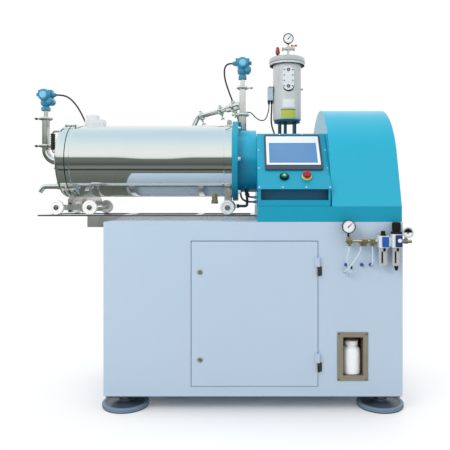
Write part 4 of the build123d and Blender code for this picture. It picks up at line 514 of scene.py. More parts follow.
for layer, outline, made, slot in (
    ("rims", rim_outline, pad_rim, "pad_steel"),
    ("dishes", dish_outline, pad_dish_shaded, "pad_steel"),
    ("rings", ring_outline, black_rubber, "belt_rubber"),
):
    piece(
        "foot_pad_" + layer, [spun(outline, foot) for foot in feet], "machine", made, ["foot_pads"],
    )
bright_zinc = finish("bright_zinc", (0.62, 0.63, 0.64), (0.74, 0.75, 0.76), (0.2, 0.34), metal=1.0)
nut_areas = [(bright_zinc, (x - 22, y - 22, 38), (x + 22, y + 22, 60)) for x, y, z in feet]
dressed("foot_spindles", dark_steel, areas=nut_areas)

# Bottle niche: a folded stainless box with a screwed frame, and in it a milky bottle with a
# ribbed screw cap.
niche_steel = finish(
    "niche_stainless", (0.41, 0.365, 0.29), (0.50, 0.45, 0.37), (0.30, 0.42), patch=14.0, grain=300.0,
    stretch=(1, 1, 14), relief=0.01, metal=0.6,
)
# The inside of the niche is painted a darker brown as shade in the recess.
niche_painted_shade = finish("niche_inside_shade", (0.17, 0.125, 0.085), (0.25, 0.19, 0.135), (0.3, 0.42), metal=0.3)
niche_shaded_walls = [(niche_painted_shade, (420, -448, 169), (516, -330, 350))]
dressed("niche_box", niche_steel, ease=0.6, areas=niche_shaded_walls)
milky = finish(
    "milky_plastic", (0.80, 0.82, 0.83), (0.86, 0.87, 0.87), (0.28, 0.36),
    also={"Subsurface Weight": 0.3, "Subsurface Radius": (0.02, 0.02, 0.02)},
)
BOTTLE = (468, -401, 170)
BOTTLE_RADIUS = 43.5
BOTTLE_NECK = 26
bottle_outline = [
    (0, 0), (BOTTLE_RADIUS - 4, 0), (BOTTLE_RADIUS - 1, 1.5), (BOTTLE_RADIUS, 5), (BOTTLE_RADIUS, 104),
    (BOTTLE_RADIUS - 1, 111), (BOTTLE_RADIUS - 5, 119), (BOTTLE_RADIUS - 11, 125), (BOTTLE_NECK + 3, 128),
    (BOTTLE_NECK, 131), (BOTTLE_NECK, 148), (BOTTLE_NECK - 2, 148), (BOTTLE_NECK - 2, 129),
    (BOTTLE_RADIUS - 9, 120), (BOTTLE_RADIUS - 2, 106), (BOTTLE_RADIUS - 2, 2), (0, 2),
]
piece(
    "bottle_body", [spun(bottle_outline, BOTTLE)], "bottle", milky, ["bottle"],
    ease=0.5,
)
white_cap = finish("white_cap", (0.72, 0.74, 0.75), (0.78, 0.80, 0.80))
dressed("bottle_cap", white_cap, ease=0.4)

# Teal castings and sheet work: the bearing housing, the neck and the arched guard are sprayed gloss
# teal. The plinth, the console and the flange have a duller coat, which also paints shade on the neck's
# underside.
teal = finish(
    "teal_paint", (0.0, 0.335, 0.500), (0.0, 0.370, 0.535), (0.26, 0.34), patch=1.6, grain=240.0,
    relief=0.04, also={"Coat Weight": 0.35, "Coat Roughness": 0.08},
)
SHAFT_Z = 1202
plinth_teal = finish(
    "plinth_teal", (0.0, 0.27, 0.41), (0.0, 0.30, 0.45), (0.3, 0.38), patch=1.6, grain=240.0, relief=0.04,
)
recess_shade_teal = finish("recess_shade_teal", (0.0, 0.10, 0.19), (0.0, 0.12, 0.22), (0.4, 0.5), grain=240.0)
dressed("base_plinth", plinth_teal, ease=1.6)
dressed("bearing_housing", teal, ease=1.6)
# The recess under the console's lip is painted dark teal as shade.
shaded_recess = [(recess_shade_teal, (36.5, -444.5, 989.5), (354.5, -404, 1041.5))]
dressed("console_box", plinth_teal, ease=1.6, areas=shaded_recess)

FLANGE_LEFT = -105
FLANGE_RADIUS = 217
NECK_RADIUS = 169
HOUSING_LEFT = 22
SEAL_RADIUS = 95
neck_length = HOUSING_LEFT - FLANGE_LEFT
neck_outline = [
    (SEAL_RADIUS, 0), (FLANGE_RADIUS - 2, 0), (FLANGE_RADIUS, 2), (FLANGE_RADIUS, 28),
    (FLANGE_RADIUS - 2, 30), (NECK_RADIUS, 30), (NECK_RADIUS, neck_length),
    (NECK_RADIUS - 14, neck_length), (NECK_RADIUS - 14, 30), (SEAL_RADIUS, 30),
]


def boxed(place):
    """A cube of side 1 set and stretched by a matrix in mm."""
    shape = bmesh.new()
    bmesh.ops.create_cube(shape, size=1)
    bmesh.ops.transform(shape, matrix=Matrix.Scale(MM, 4) @ place, verts=shape.verts)
    return shape


def block(low, high):
    """A block between two corners in mm."""
    low, high = Vector(low), Vector(high)
    return boxed(Matrix.Translation((low + high) / 2) @ Matrix.Diagonal((*(high - low), 1)))


def rod(at, way, radius, length, steps=32, bore=0.0):
    """A round bar from a point in mm, or a tube where it has a bore."""
    return spun([(bore, 0), (radius, 0), (radius, length), (bore, length)], at, way, steps)


STUB_PLACES = ((-62, -60), (-36, -96))
SOCKET_Y = 235
SOCKET_Z = 1150
NECK_RISER_X = -52
PIPE_RADIUS = 21
neck_shapes = [
    spun(neck_outline, (FLANGE_LEFT, 0, SHAFT_Z), RIGHT, 112),
    block((FLANGE_LEFT + 4, 195, SOCKET_Z - 22), (FLANGE_LEFT + 10, SOCKET_Y + 22, SOCKET_Z + 22)),
    rod((FLANGE_LEFT + 4, SOCKET_Y, SOCKET_Z), RIGHT, 15, 26),
    rod((NECK_RISER_X, 0, SHAFT_Z + NECK_RADIUS - 6), UP, PIPE_RADIUS + 3, 12),
]
stubs = [(x, y, SHAFT_Z - math.sqrt(NECK_RADIUS**2 - y**2) - 12) for x, y in STUB_PLACES]
neck_shapes += [rod(stub, UP, 8, 20) for stub in stubs]
# The neck's lower half takes the plinth's darker teal as painted shade; the flange takes it as its duller
# coat.
neck_shade_and_flange = [
    (plinth_teal, (FLANGE_LEFT + 31, -180, 1030), (HOUSING_LEFT, 180, SHAFT_Z)),
    (plinth_teal, (FLANGE_LEFT - 1, -220, 980), (FLANGE_LEFT + 29, 220, 1424)),
]
piece(
    "neck_casting", neck_shapes, "machine", teal, ["neck_flange"], ease=1.2,
    areas=neck_shade_and_flange,
)

GUARD_LEFT = 370
GUARD_RIGHT = 697
GUARD_FOOT = 960
GUARD_CREST = 1475
GUARD_ARC = 385.5
GUARD_HALF = 450
GUARD_SHEET = 3


def arch(thinner, steps=56):
    """The guard's outline as (y, z) in mm, from its front foot over the crest to its back foot."""
    centre = GUARD_CREST - GUARD_ARC
    radius = GUARD_ARC - thinner
    foot = Vector((GUARD_HALF - thinner, GUARD_FOOT - centre))
    rise = math.atan2(foot.y, foot.x) + math.acos(radius / foot.length)
    spots = [(-foot.x, GUARD_FOOT)]
    for step in range(steps + 1):
        angle = math.pi - rise - (math.pi - 2 * rise) * step / steps
        spots.append((radius * math.cos(angle), centre + radius * math.sin(angle)))
    return [*spots, (foot.x, GUARD_FOOT)]


guard = bmesh.new()
skins = []
for thinner in (0, GUARD_SHEET):
    ends = (GUARD_LEFT + thinner, GUARD_RIGHT - thinner)
    rims = [[guard.verts.new(Vector((x, y, z)) * MM) for y, z in arch(thinner)] for x in ends]
    guard.faces.new(rims[0])
    guard.faces.new(rims[1])
    bridged(guard, *rims, closed=False)
    skins.append(rims)
outer, inner = skins
for side in (0, 1):
    guard.faces.new((outer[side][0], outer[side][-1], inner[side][-1], inner[side][0]))
for end in (0, -1):
    guard.faces.new((outer[0][end], outer[1][end], inner[1][end], inner[0][end]))
piece("guard_cover", [outward(guard)], "machine", teal, ["belt_guard"], ease=1.0)

# Barrel: a mirror-polished stainless cooling jacket round the grinding chamber, with a bolted
# end cover, a lifting lug, water fittings and clips for the transmitter's cable.
mirror_steel = finish(
    "mirror_stainless", (0.80, 0.81, 0.80), (0.84, 0.85, 0.84), (0.035, 0.075), patch=7.0, grain=9.0,
    stretch=(0.25, 1, 1), relief=0.12, metal=1.0,
)
BARREL_LEFT = -968
BARREL_RIGHT = -106
BARREL_RADIUS = 195
BARREL_WALL = 6
RING_RADIUS = 199
END_RING = 22
JACKET_BORE = 158
ring_start = 822
barrel_length = BARREL_RIGHT - BARREL_LEFT
barrel_outline = [
    (JACKET_BORE, 0), (RING_RADIUS, 0), (RING_RADIUS, END_RING - 2), (BARREL_RADIUS, END_RING),
    (BARREL_RADIUS, ring_start - 2), (RING_RADIUS, ring_start), (RING_RADIUS, barrel_length),
    (JACKET_BORE, barrel_length), (JACKET_BORE, ring_start), (BARREL_RADIUS - BARREL_WALL, ring_start),
    (BARREL_RADIUS - BARREL_WALL, END_RING), (JACKET_BORE, END_RING),
]
barrel_shape = spun(barrel_outline, (BARREL_LEFT, 0, SHAFT_Z), RIGHT, 160)
piece(
    "barrel_jacket", [barrel_shape], "barrel", mirror_steel, ["barrel_shell"], ease=0.8,
)
COVER_LEFT = -1024
COVER_SEAM = 4
cover_thick = BARREL_LEFT - COVER_LEFT
cover_outline = [
    (0, 0), (BARREL_RADIUS - 5, 0), (BARREL_RADIUS - 5, COVER_SEAM), (RING_RADIUS, COVER_SEAM),
    (RING_RADIUS, cover_thick - 22), (197, cover_thick - 13), (192, cover_thick - 5), (184, cover_thick),
    (0, cover_thick),
]
cover_shape = spun(cover_outline, (BARREL_LEFT, 0, SHAFT_Z), LEFT, 160)
piece("cover_plate", [cover_shape], "barrel", mirror_steel, ["end_cover"], ease=0.8)
seam_outline = [(188, 0), (191, 0), (191, COVER_SEAM), (188, COVER_SEAM)]
seam_ring = spun(seam_outline, (BARREL_LEFT, 0, SHAFT_Z), LEFT, 160)
piece("cover_seal", [seam_ring], "barrel", black_rubber, ["end_cover"], ease=0)

ground_steel = finish(
    "ground_stainless", (0.80, 0.795, 0.78), (0.90, 0.895, 0.885), (0.10, 0.19), patch=22.0, grain=500.0,
    stretch=(6, 6, 1), relief=0.003, metal=1.0,
)
PORT_X = -876
SADDLE_TOP = 1428
PORT_TOP = 1454
DRAIN_X = -205
LUG_X = -124
CLIP_X = (-720, -485, -260)
CLIP_Z = 1134
CABLE_Y = 235
PORT_BORE = 12
HEX_CORNER = 1 / math.cos(math.radians(30))
barrel_top = SHAFT_Z + BARREL_RADIUS
barrel_foot = SHAFT_Z - BARREL_RADIUS
port_bore = rounded((PORT_X, 0), 2 * PORT_BORE, 2 * PORT_BORE, PORT_BORE - 0.01)
port_shapes = [
    block((-912, -30, barrel_top - 5), (-809, 30, SADDLE_TOP)),
    slab(rounded((PORT_X, 0), 64, 48, 4), SADDLE_TOP, PORT_TOP - SADDLE_TOP, "z", port_bore),
]
port_pale = finish(
    "port_pale", (0.70, 0.71, 0.73), (0.76, 0.77, 0.79), (0.35, 0.45), grain=90.0, metal=0.2,
)
piece("water_port", port_shapes, "barrel", port_pale, ["barrel_shell"], ease=1.0)
brass = finish("plated_brass", (0.76, 0.60, 0.34), (0.88, 0.74, 0.50), (0.2, 0.34), patch=40.0, metal=1.0)
drain_shapes = [
    rod((DRAIN_X, 0, barrel_foot - 20), UP, 16, 22, 32, PORT_BORE),
    rod((DRAIN_X, 0, barrel_foot - 38), UP, 18 * HEX_CORNER, 18, 6, PORT_BORE),
]
piece("water_drain", drain_shapes, "barrel", brass, ["barrel_shell"], ease=0.8)

lug = slab(rounded((LUG_X, barrel_top + 12), 28, 44, 13.9), -5, 10, "y")
clip_shapes = [lug]
for x in CLIP_X:
    clip_shapes.append(rod((x, BARREL_RADIUS - 15, CLIP_Z - 2), BACK, 4, CABLE_Y - BARREL_RADIUS + 7))
    clip_shapes.append(rod((x - 5, CABLE_Y, CLIP_Z), RIGHT, 11, 10, 32, 7))
piece("lug_and_clips", clip_shapes, "barrel", ground_steel, ["barrel_shell"], ease=0.8)


# Bolts and screws: hexagon bolts of ground steel draw up the end cover and the flange, and zinc
# screws hold the niche's frame. Their heads are set out by rule, in rings and in rows.
HEAD_TAPER = 0.86


def fastener_tree(name, ring):
    """A Geometry Nodes tree that stands heads on a ring or on a row of points."""
    reach = ("Ring Radius", "Float") if ring else ("Pitch", "Vector")
    heads = [("Count", "Int"), ("Head Radius", "Float"), ("Head Height", "Float"), ("Sides", "Int")]
    inputs = [*heads, reach, ("Material", "Material")]
    tree, given, out = new_tree(name, "GeometryNodeTree", inputs, [("Geometry", "Geometry")])
    head = tree_node(tree, "GeometryNodeMeshCone")
    taper = tree_node(tree, "ShaderNodeMath", {1: HEAD_TAPER}, operation="MULTIPLY")
    spots = tree_node(tree, "GeometryNodeMeshCircle" if ring else "GeometryNodeMeshLine")
    stand = tree_node(tree, "GeometryNodeInstanceOnPoints")
    real = tree_node(tree, "GeometryNodeRealizeInstances")
    coat = tree_node(tree, "GeometryNodeSetMaterial")
    wire(
        tree,
        (given, "Sides", head, "Vertices"),
        (given, "Head Radius", head, "Radius Bottom"),
        (given, "Head Radius", taper, 0),
        (taper, 0, head, "Radius Top"),
        (given, "Head Height", head, "Depth"),
        (given, "Count", spots, "Vertices" if ring else "Count"),
        (given, reach[0], spots, "Radius" if ring else "Offset"),
        (spots, "Mesh", stand, "Points"),
        (head, "Mesh", stand, "Instance"),
        (stand, 0, real, 0),
        (real, 0, coat, "Geometry"),
        (given, "Material", coat, "Material"),
        (coat, 0, out, 0),
    )
    return tree


bolt_ring = fastener_tree("bolt_ring", True)
screw_row = fastener_tree("screw_row", False)


def fasteners(name, count, head, at, way, body, made, slot, ring=None, pitch=None, sides=16, turn=0):
    """Heads of a radius and height in mm, on a ring round a point or in a row from it."""
    values = {"Count": count, "Head Radius": head[0] * MM, "Head Height": head[1] * MM, "Sides": sides}
    values["Material"] = made
    if ring:
        values["Ring Radius"] = ring * MM
    else:
        values["Pitch"] = [part * MM for part in pitch]
    tree = bolt_ring if ring else screw_row
    sockets = [socket for socket in tree.interface.items_tree if socket.in_out == "INPUT"]
    inputs = [(socket.identifier, values[socket.name]) for socket in sockets]
    mesh = worked(bpy.data.meshes.new(name), "NODES", inputs, node_group=tree)
    mesh.transform(standing(at, way) @ Matrix.Rotation(math.radians(turn), 4, "Z"))
    mesh.shade_smooth()
    mesh.set_sharp_from_angle(angle=math.radians(30))
    item = placed(name, mesh)
    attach(item, body)


bolts = (ground_steel, "pipe_steel")
cover_face = (COVER_LEFT, 0, SHAFT_Z)
flange_face = (FLANGE_LEFT + 30, 0, SHAFT_Z)
fasteners("cover_bolts", 12, (8, 8), cover_face, LEFT, "barrel", *bolts, ring=168, sides=6, turn=15)
fasteners("flange_bolts", 6, (11, 14), flange_face, RIGHT, "machine", *bolts, ring=194, sides=6, turn=30)
niche_screws = ("machine", bright_zinc, "frame_steel")
for row, x in (("left", 401), ("right", 530)):
    at = (x, -453, 153)
    fasteners("niche_screws_" + row, 2, (5, 2.5), at, FRONT, *niche_screws, pitch=(0, 212, 0))

# Trolley and rails: laser-cut stainless plates and cradles, white nylon wheels on steel axles,
# and flat rails on webs that run out past the cabinet on two box arms.
POST_BOLT_X = (-952, -879)
POST_BOLT_Z = (933, 972)
POST_BOLT_Y = (-156, 150.2)
RAIL_EDGES = (-187, -143, 143, 187)
trolley_bolts = [(bright_zinc, (-140, -156, 1025), (-120, -150.2, 1045))]
for x in POST_BOLT_X:
    for z in POST_BOLT_Z:
        for y in POST_BOLT_Y:
            trolley_bolts.append((dark_steel, (x - 7.5, y, z - 7.5), (x + 7.5, y + 5.8, z + 7.5)))
dressed("trolley_frame", satin_steel, ease=0.8, areas=trolley_bolts)
# The rails' edge faces are painted dark steel as a line of shade.
shaded_rail_edges = [(dark_steel, (-1112, y - 2, 905), (-100, y + 2, 914)) for y in RAIL_EDGES]
dressed("slide_rails", satin_steel, ease=0.8, areas=shaded_rail_edges)
nylon = finish("white_nylon", (0.80, 0.80, 0.78), (0.86, 0.86, 0.84), (0.35, 0.5), relief=0.03)
RAIL_Y = 165
WHEEL_RADIUS = 37.5
WHEEL_WIDTH = 24
RAIL_TOP = 913
AXLE_Z = RAIL_TOP + WHEEL_RADIUS + 0.3
WHEELS = {"left": -1016, "middle": -844, "right": -130}
tread_outline = [
    (0, 0), (WHEEL_RADIUS - 2.5, 0), (WHEEL_RADIUS, 2.5), (WHEEL_RADIUS, WHEEL_WIDTH - 2.5),
    (WHEEL_RADIUS - 2.5, WHEEL_WIDTH), (27, WHEEL_WIDTH), (25, WHEEL_WIDTH - 3), (16, WHEEL_WIDTH - 3),
    (14, WHEEL_WIDTH + 2), (0, WHEEL_WIDTH + 2),
]
hub_outline = [(8.1, 0), (13, 0), (13, 2), (11, 4), (8.1, 4)]
for side, x in WHEELS.items():
    treads, hubs = [], []
    for way in (-1, 1):
        tread_at = (x, way * (RAIL_Y - WHEEL_WIDTH / 2 + 3), AXLE_Z)
        treads.append(spun(tread_outline, tread_at, (0, way, 0), 64))
        hub_at = (x, way * (RAIL_Y + WHEEL_WIDTH / 2 + 4.5), AXLE_Z)
        hubs.append(spun(hub_outline, hub_at, (0, way, 0), 40))
    axle = [rod((x, RAIL_Y + 20, AXLE_Z), FRONT, 8, 2 * RAIL_Y + 40)]
    for part, shapes, made, slot, ease in (
        ("treads", treads, nylon, "nylon", 0.8),
        ("axle", axle, ground_steel, "pipe_steel", 1.0),
        ("hubs", hubs, dark_steel, "dark_steel", 0.6),
    ):
        piece(f"wheel_{part}_{side}", shapes, "wheels_" + side, made, ["wheelset_" + side], ease)


# Product pipework: polished stainless tube with hinged clamps and wing nuts, and the blue
# die-cast transmitters that stand on it.
def pipe(points, bend, radius, bore=0.0, steps=32):
    """A pipe along straight runs in mm joined by round bends."""
    corners = [Vector(point) for point in points]
    line = [corners[0]]
    for before, here, after in zip(corners, corners[1:], corners[2:]):
        way_in, way_out = (here - before).normalized(), (after - here).normalized()
        turn = way_in.angle(way_out)
        reach = bend * math.tan(turn / 2)
        start = here - way_in * reach
        side = (way_out - way_in * way_out.dot(way_in)).normalized()
        centre = start + side * bend
        count = max(6, round(math.degrees(turn) / 6))
        for step in range(count + 1):
            angle = turn * step / count
            line.append(centre - side * bend * math.cos(angle) + way_in * bend * math.sin(angle))
    line.append(corners[-1])
    shape = bmesh.new()
    ways = [(beyond - here).normalized() for here, beyond in zip(line, line[1:])]
    ways = [ways[0]] + [(a + b).normalized() for a, b in zip(ways, ways[1:])] + [ways[-1]]
    across = ways[0].orthogonal().normalized()
    angles = [2 * math.pi * turned / steps for turned in range(steps)]
    hoops = {"skin": [], "bore": []}
    for spot, way in zip(line, ways):
        across = (across - way * across.dot(way)).normalized()
        up = way.cross(across)
        outs = [across * math.cos(angle) + up * math.sin(angle) for angle in angles]
        for kind, size in (("skin", radius), ("bore", bore)):
            if size:
                hoops[kind].append([shape.verts.new((spot + out * size) * MM) for out in outs])
    for kind in hoops.values():
        for lower, upper in zip(kind, kind[1:]):
            bridged(shape, lower, upper)
    for end in (0, -1):
        if bore:
            bridged(shape, hoops["skin"][end], hoops["bore"][end])
        else:
            shape.faces.new(hoops["skin"][end])
    return outward(shape)


RISER_X = -1134
END_CLAMP_Z = (1286, 1436)
SENSOR_PIPE_RADIUS = 12
END_TRANSMITTER_Z = 1479
SPOUT_Z = 1064
SPOUT_RADIUS = 14
sensor_rise = END_TRANSMITTER_Z - END_CLAMP_Z[1] - 6
sensor_outline = [
    (0, 0), (PIPE_RADIUS, 0), (PIPE_RADIUS - 2, 5), (SENSOR_PIPE_RADIUS, 7),
    (SENSOR_PIPE_RADIUS, sensor_rise), (0, sensor_rise),
]
end_shapes = [
    pipe(
        [(COVER_LEFT, 0, SHAFT_Z), (RISER_X, 0, SHAFT_Z), (RISER_X, 0, END_CLAMP_Z[1] + 6)], 64,
        PIPE_RADIUS, PIPE_RADIUS - 2,
    ),
    spun(sensor_outline, (RISER_X, 0, END_CLAMP_Z[1] + 6)),
    pipe(
        [(COVER_LEFT, 0, SPOUT_Z), (RISER_X - 12, 0, SPOUT_Z), (RISER_X - 34, 0, SPOUT_Z - 30)], 30,
        SPOUT_RADIUS, SPOUT_RADIUS - 2,
    ),
    rod((COVER_LEFT - 46, 0, SPOUT_Z), RIGHT, SPOUT_RADIUS + 3, 12, 40, SPOUT_RADIUS - 1),
    rod((COVER_LEFT - 6, 0, SHAFT_Z), RIGHT, PIPE_RADIUS + 5, 6, 40, PIPE_RADIUS - 1),
    rod((COVER_LEFT - 5, 0, SPOUT_Z), RIGHT, SPOUT_RADIUS + 5, 5, 40, SPOUT_RADIUS - 1),
]
piece("end_pipes", end_shapes, "barrel", ground_steel, ["end_pipework"], ease=0.5)

# Cover handle: a bent steel bow with a ribbed black grip. The seam is drawn up by swing bolts.
# Under the neck a dark pipe with two nuts leads any leakage away.
HANDLE_Y = -90
HANDLE_X = COVER_LEFT - 40
HANDLE_ENDS = (1244, 1356)
GRIP_RIBS = 8
RIB_PITCH = 11
handle_corners = [(COVER_LEFT + 2, HANDLE_Y, HANDLE_ENDS[0])]
handle_corners += [(HANDLE_X, HANDLE_Y, z) for z in HANDLE_ENDS]
handle_corners += [(COVER_LEFT + 2, HANDLE_Y, HANDLE_ENDS[1])]
piece(
    "cover_handle", [pipe(handle_corners, 10, 6)], "barrel", ground_steel, ["end_cover"],
    ease=0,
)
grip_outline = [(6, 0), (10, 0)]
for rib in range(GRIP_RIBS):
    foot = 1 + rib * RIB_PITCH
    grip_outline += [(10, foot), (13, foot + 1.5), (13, foot + 5.5), (10, foot + 7)]
grip_outline += [(10, 86), (6, 86)]
grip_shape = spun(grip_outline, (HANDLE_X, HANDLE_Y, 1257), UP, 40)
piece("handle_grip", [grip_shape], "barrel", black_rubber, ["end_cover"], ease=0.5)
SWING_ANGLES = (-52, 68, 188)
swing_shapes = []
for lean in SWING_ANGLES:
    out = Vector((0, -math.cos(math.radians(lean)), math.sin(math.radians(lean))))
    at = Vector((BARREL_LEFT, 0, SHAFT_Z)) + out * (RING_RADIUS + 3)
    swing_shapes.append(rod(at + Vector((-26, 0, 0)), RIGHT, 4, 50, 16))
    for start, length in ((-34, 9), (16, 9)):
        swing_shapes.append(rod(at + Vector((start, 0, 0)), RIGHT, 8, length, 6))
piece("swing_bolts", swing_shapes, "barrel", ground_steel, [], ease=0.8)
LEAK = (-27, -20, 956)
leak_shapes = [
    pipe([(LEAK[0], LEAK[1], 1039), LEAK, (-73, LEAK[1], LEAK[2])], 12, 7.5, 5.5),
    rod((LEAK[0], LEAK[1], 1013), UP, 12 * HEX_CORNER, 14, 6, 7),
    rod((-85, LEAK[1], LEAK[2]), RIGHT, 11 * HEX_CORNER, 14, 6, 5.5),
]
piece("leak_pipe", leak_shapes, "machine", dark_steel, ["neck_flange"], ease=0.5)


def clamp(at, axis, way, bore):
    """A hinged clamp ring round a pipe, with its lug, screw and wing nut."""
    at, axis, way = Vector(at), Vector(axis).normalized(), Vector(way).normalized()
    outer = bore + 11
    ring = [(bore + 0.2, -8), (outer - 4, -8), (outer - 1, -6), (outer, -3), (outer, 3), (outer - 1, 6)]
    shapes = [spun([*ring, (outer - 4, 8), (bore + 0.2, 8)], at, axis, 56)]
    tilt = Matrix((axis.cross(way), axis, way)).transposed().to_4x4()
    for middle, size in (
        (outer + 3, (12, 12, 10)), (outer + 18.5, (10, 10, 5)), (-outer - 2, (10, 12, 7)),
    ):
        shapes.append(boxed(Matrix.Translation(at + way * middle) @ tilt @ Matrix.Diagonal((*size, 1))))
    shapes.append(rod(at + way * (outer + 2), way, 3.2, 24, 16))
    shapes.append(spun([(0, 0), (6.5, 0), (7, 3), (5.5, 9), (0, 9)], at + way * (outer + 18), way, 24))
    for hand in (-1, 1):
        tip = bmesh.new()
        bmesh.ops.create_uvsphere(tip, u_segments=16, v_segments=8, radius=1)
        lean = Matrix.Rotation(math.radians(-24 * hand), 4, "Y") @ Matrix.Diagonal((6.5, 2.2, 5.5, 1))
        spread = tilt @ Matrix.Translation((10 * hand, 0, 0)) @ lean
        place = Matrix.Scale(MM, 4) @ Matrix.Translation(at + way * (outer + 23)) @ spread
        bmesh.ops.transform(tip, matrix=place, verts=tip.verts)
        shapes.append(tip)
    return shapes


end_clamps = [shape for z in END_CLAMP_Z for shape in clamp((RISER_X, 0, z), UP, LEFT, PIPE_RADIUS)]
dark_wings = [
    (dark_steel, (RISER_X - 70, -20, END_CLAMP_Z[0] - 20), (RISER_X - 45, 20, END_CLAMP_Z[1] + 20))
]
piece(
    "end_clamp_rings", end_clamps, "barrel", ground_steel, ["barrel_clamps"], ease=0.8,
    areas=dark_wings,
)

sky_enamel = finish(
    "transmitter_enamel", (0.026, 0.195, 0.33), (0.040, 0.24, 0.39), (0.2, 0.3), patch=30.0, relief=0.02,
    also={"Coat Weight": 0.5, "Coat Roughness": 0.06},
)
eye_glass = finish("eye_glass", (0.13, 0.43, 0.63), (0.18, 0.50, 0.70), (0.12, 0.18), patch=60.0)


def transmitter(name, x, foot, hand, body, node):
    """A two-chamber head: a screwed display cap to the front, a terminal cap behind, a gland."""
    shapes = [
        spun([(0, 20), (17, 20), (17, 26), (26, 32), (29, 46), (26, 64), (0, 64)], (x, 0, foot), UP, 48),
        spun(
            [
                (0, -6), (19, -6), (20, -8), (24, -8), (29, -4), (29, 8), (33, 12), (33, 76), (29, 80),
                (29, 92), (24, 96), (0, 96),
            ],
            (x, -44, foot + 84), BACK, 64,
        ),
        spun(
            [(0, -8), (15, -8), (18, -5), (18, 8), (21, 10), (21, 50), (18, 56), (0, 56)],
            (x + 27, -30, foot + 52), BACK, 48,
        ),
        spun(
            [(0, 0), (15, 0), (15, 20), (12, 22), (12, 28), (8, 36), (0, 36)],
            (x + 20 * hand, 0, foot + 88), (hand, 0, 0), 32,
        ),
        spun(
            [(0, 0), (14, 0), (14, 18), (11, 20), (11, 30), (0, 30)], (x - 20 * hand, 0, foot + 90),
            (-hand, 0, 0), 6,
        ),
        block((x - 38, -16, foot + 96), (x + 38, 16, foot + 114)),
        spun([(0, 0), (22 * HEX_CORNER, 0), (22 * HEX_CORNER, 20), (0, 20)], (x, 0, foot), UP, 6),
    ]
    piece(name + "_case", shapes, body, sky_enamel, [node], ease=1.0)
    glass = spun([(0, 0), (18.6, 0), (18.6, 1.2), (16, 1.6), (0, 1.6)], (x, -49.8, foot + 84), FRONT, 56)
    piece(name + "_glass", [glass], body, eye_glass, [node], ease=0.2)


transmitter("end_sensor", RISER_X, END_TRANSMITTER_Z, 1, "barrel", "end_transmitter")

NECK_CLAMP_Z = (1465, 1615)
UPPER_RISER_RADIUS = 17.5
NECK_TRANSMITTER_Z = 1652
BRANCH_START = Vector((NECK_RISER_X - 12, 8, 1513))
BRANCH_CORNER = Vector((-318, 230, 1480))
BRANCH_END = Vector((-352, 262, 1418))
NIPPLE_Z = 1472
branch_way = (BRANCH_CORNER - BRANCH_START).normalized()
riser_foot = SHAFT_Z + NECK_RADIUS + 6
riser_parts = (
    (riser_foot, NECK_CLAMP_Z[0], PIPE_RADIUS, 56),
    (NECK_CLAMP_Z[0], NECK_CLAMP_Z[1] + 6, UPPER_RISER_RADIUS, 48),
    (NECK_CLAMP_Z[1], NECK_TRANSMITTER_Z, SENSOR_PIPE_RADIUS, 40),
)
branch_outline = [(0, 0), (16, 0), (22, 12), (22, 96), (18, 104), (14, 108), (0, 108)]
neck_pipes = []
for low, high, radius, steps in riser_parts:
    neck_pipes.append(rod((NECK_RISER_X, 0, low), UP, radius, high - low, steps))
neck_pipes.append(rod((NECK_RISER_X + 12, 0, NIPPLE_Z), RIGHT, 5, 16, 24))
neck_pipes.append(spun(branch_outline, BRANCH_START, branch_way, 48))
neck_pipes.append(pipe([BRANCH_START + branch_way * 100, BRANCH_CORNER, BRANCH_END], 40, 14, 12))
piece("neck_pipes", neck_pipes, "machine", ground_steel, ["neck_pipework"], ease=0.8)
neck_rings = clamp((NECK_RISER_X, 0, NECK_CLAMP_Z[0] - 8), UP, LEFT, PIPE_RADIUS)
neck_rings += clamp((NECK_RISER_X, 0, NECK_CLAMP_Z[1] - 9), UP, RIGHT, UPPER_RISER_RADIUS)
branch_side = branch_way.cross(Vector(UP))
wing_way = Matrix.Rotation(math.radians(75), 3, branch_way) @ branch_side
for along, bore in ((50, 22), (150, 14), (306, 14)):
    neck_rings += clamp(BRANCH_START + branch_way * along, branch_way, wing_way, bore)
piece("neck_clamp_rings", neck_rings, "machine", ground_steel, ["neck_clamps"], ease=0.8)
transmitter("neck_sensor", NECK_RISER_X, NECK_TRANSMITTER_Z, -1, "machine", "neck_transmitter")

# Seal fluid tank: a hammer-finished vessel on a dark teal stand, with a turned lid, a plate with
# two sight windows held by screws, two blank plates, and its fittings and gauge on top.
TANK = (201, 110)
TANK_RADIUS = 79.5
TANK_BOTTOM = 1440
TANK_TOP = 1764
LID_TOP = 1800
hammered = finish(
    "hammered_grey", (0.58, 0.595, 0.60), (0.66, 0.675, 0.68), (0.3, 0.42), patch=60.0, grain=190.0,
    relief=0.10, metal=0.3,
)
tank_height = TANK_TOP - TANK_BOTTOM
tank_outline = [
    (0, 0), (TANK_RADIUS - 4, 0), (TANK_RADIUS, 4), (TANK_RADIUS, tank_height - 12),
    (100, tank_height - 12), (100, tank_height), (TANK_RADIUS - 4, tank_height), (TANK_RADIUS - 4, 5),
    (0, 5),
]
tank_shapes = [
    spun(tank_outline, (*TANK, TANK_BOTTOM), UP, 96),
    rod((TANK[0] + TANK_RADIUS - 2, TANK[1], 1620), RIGHT, 6, 14, 24),
]
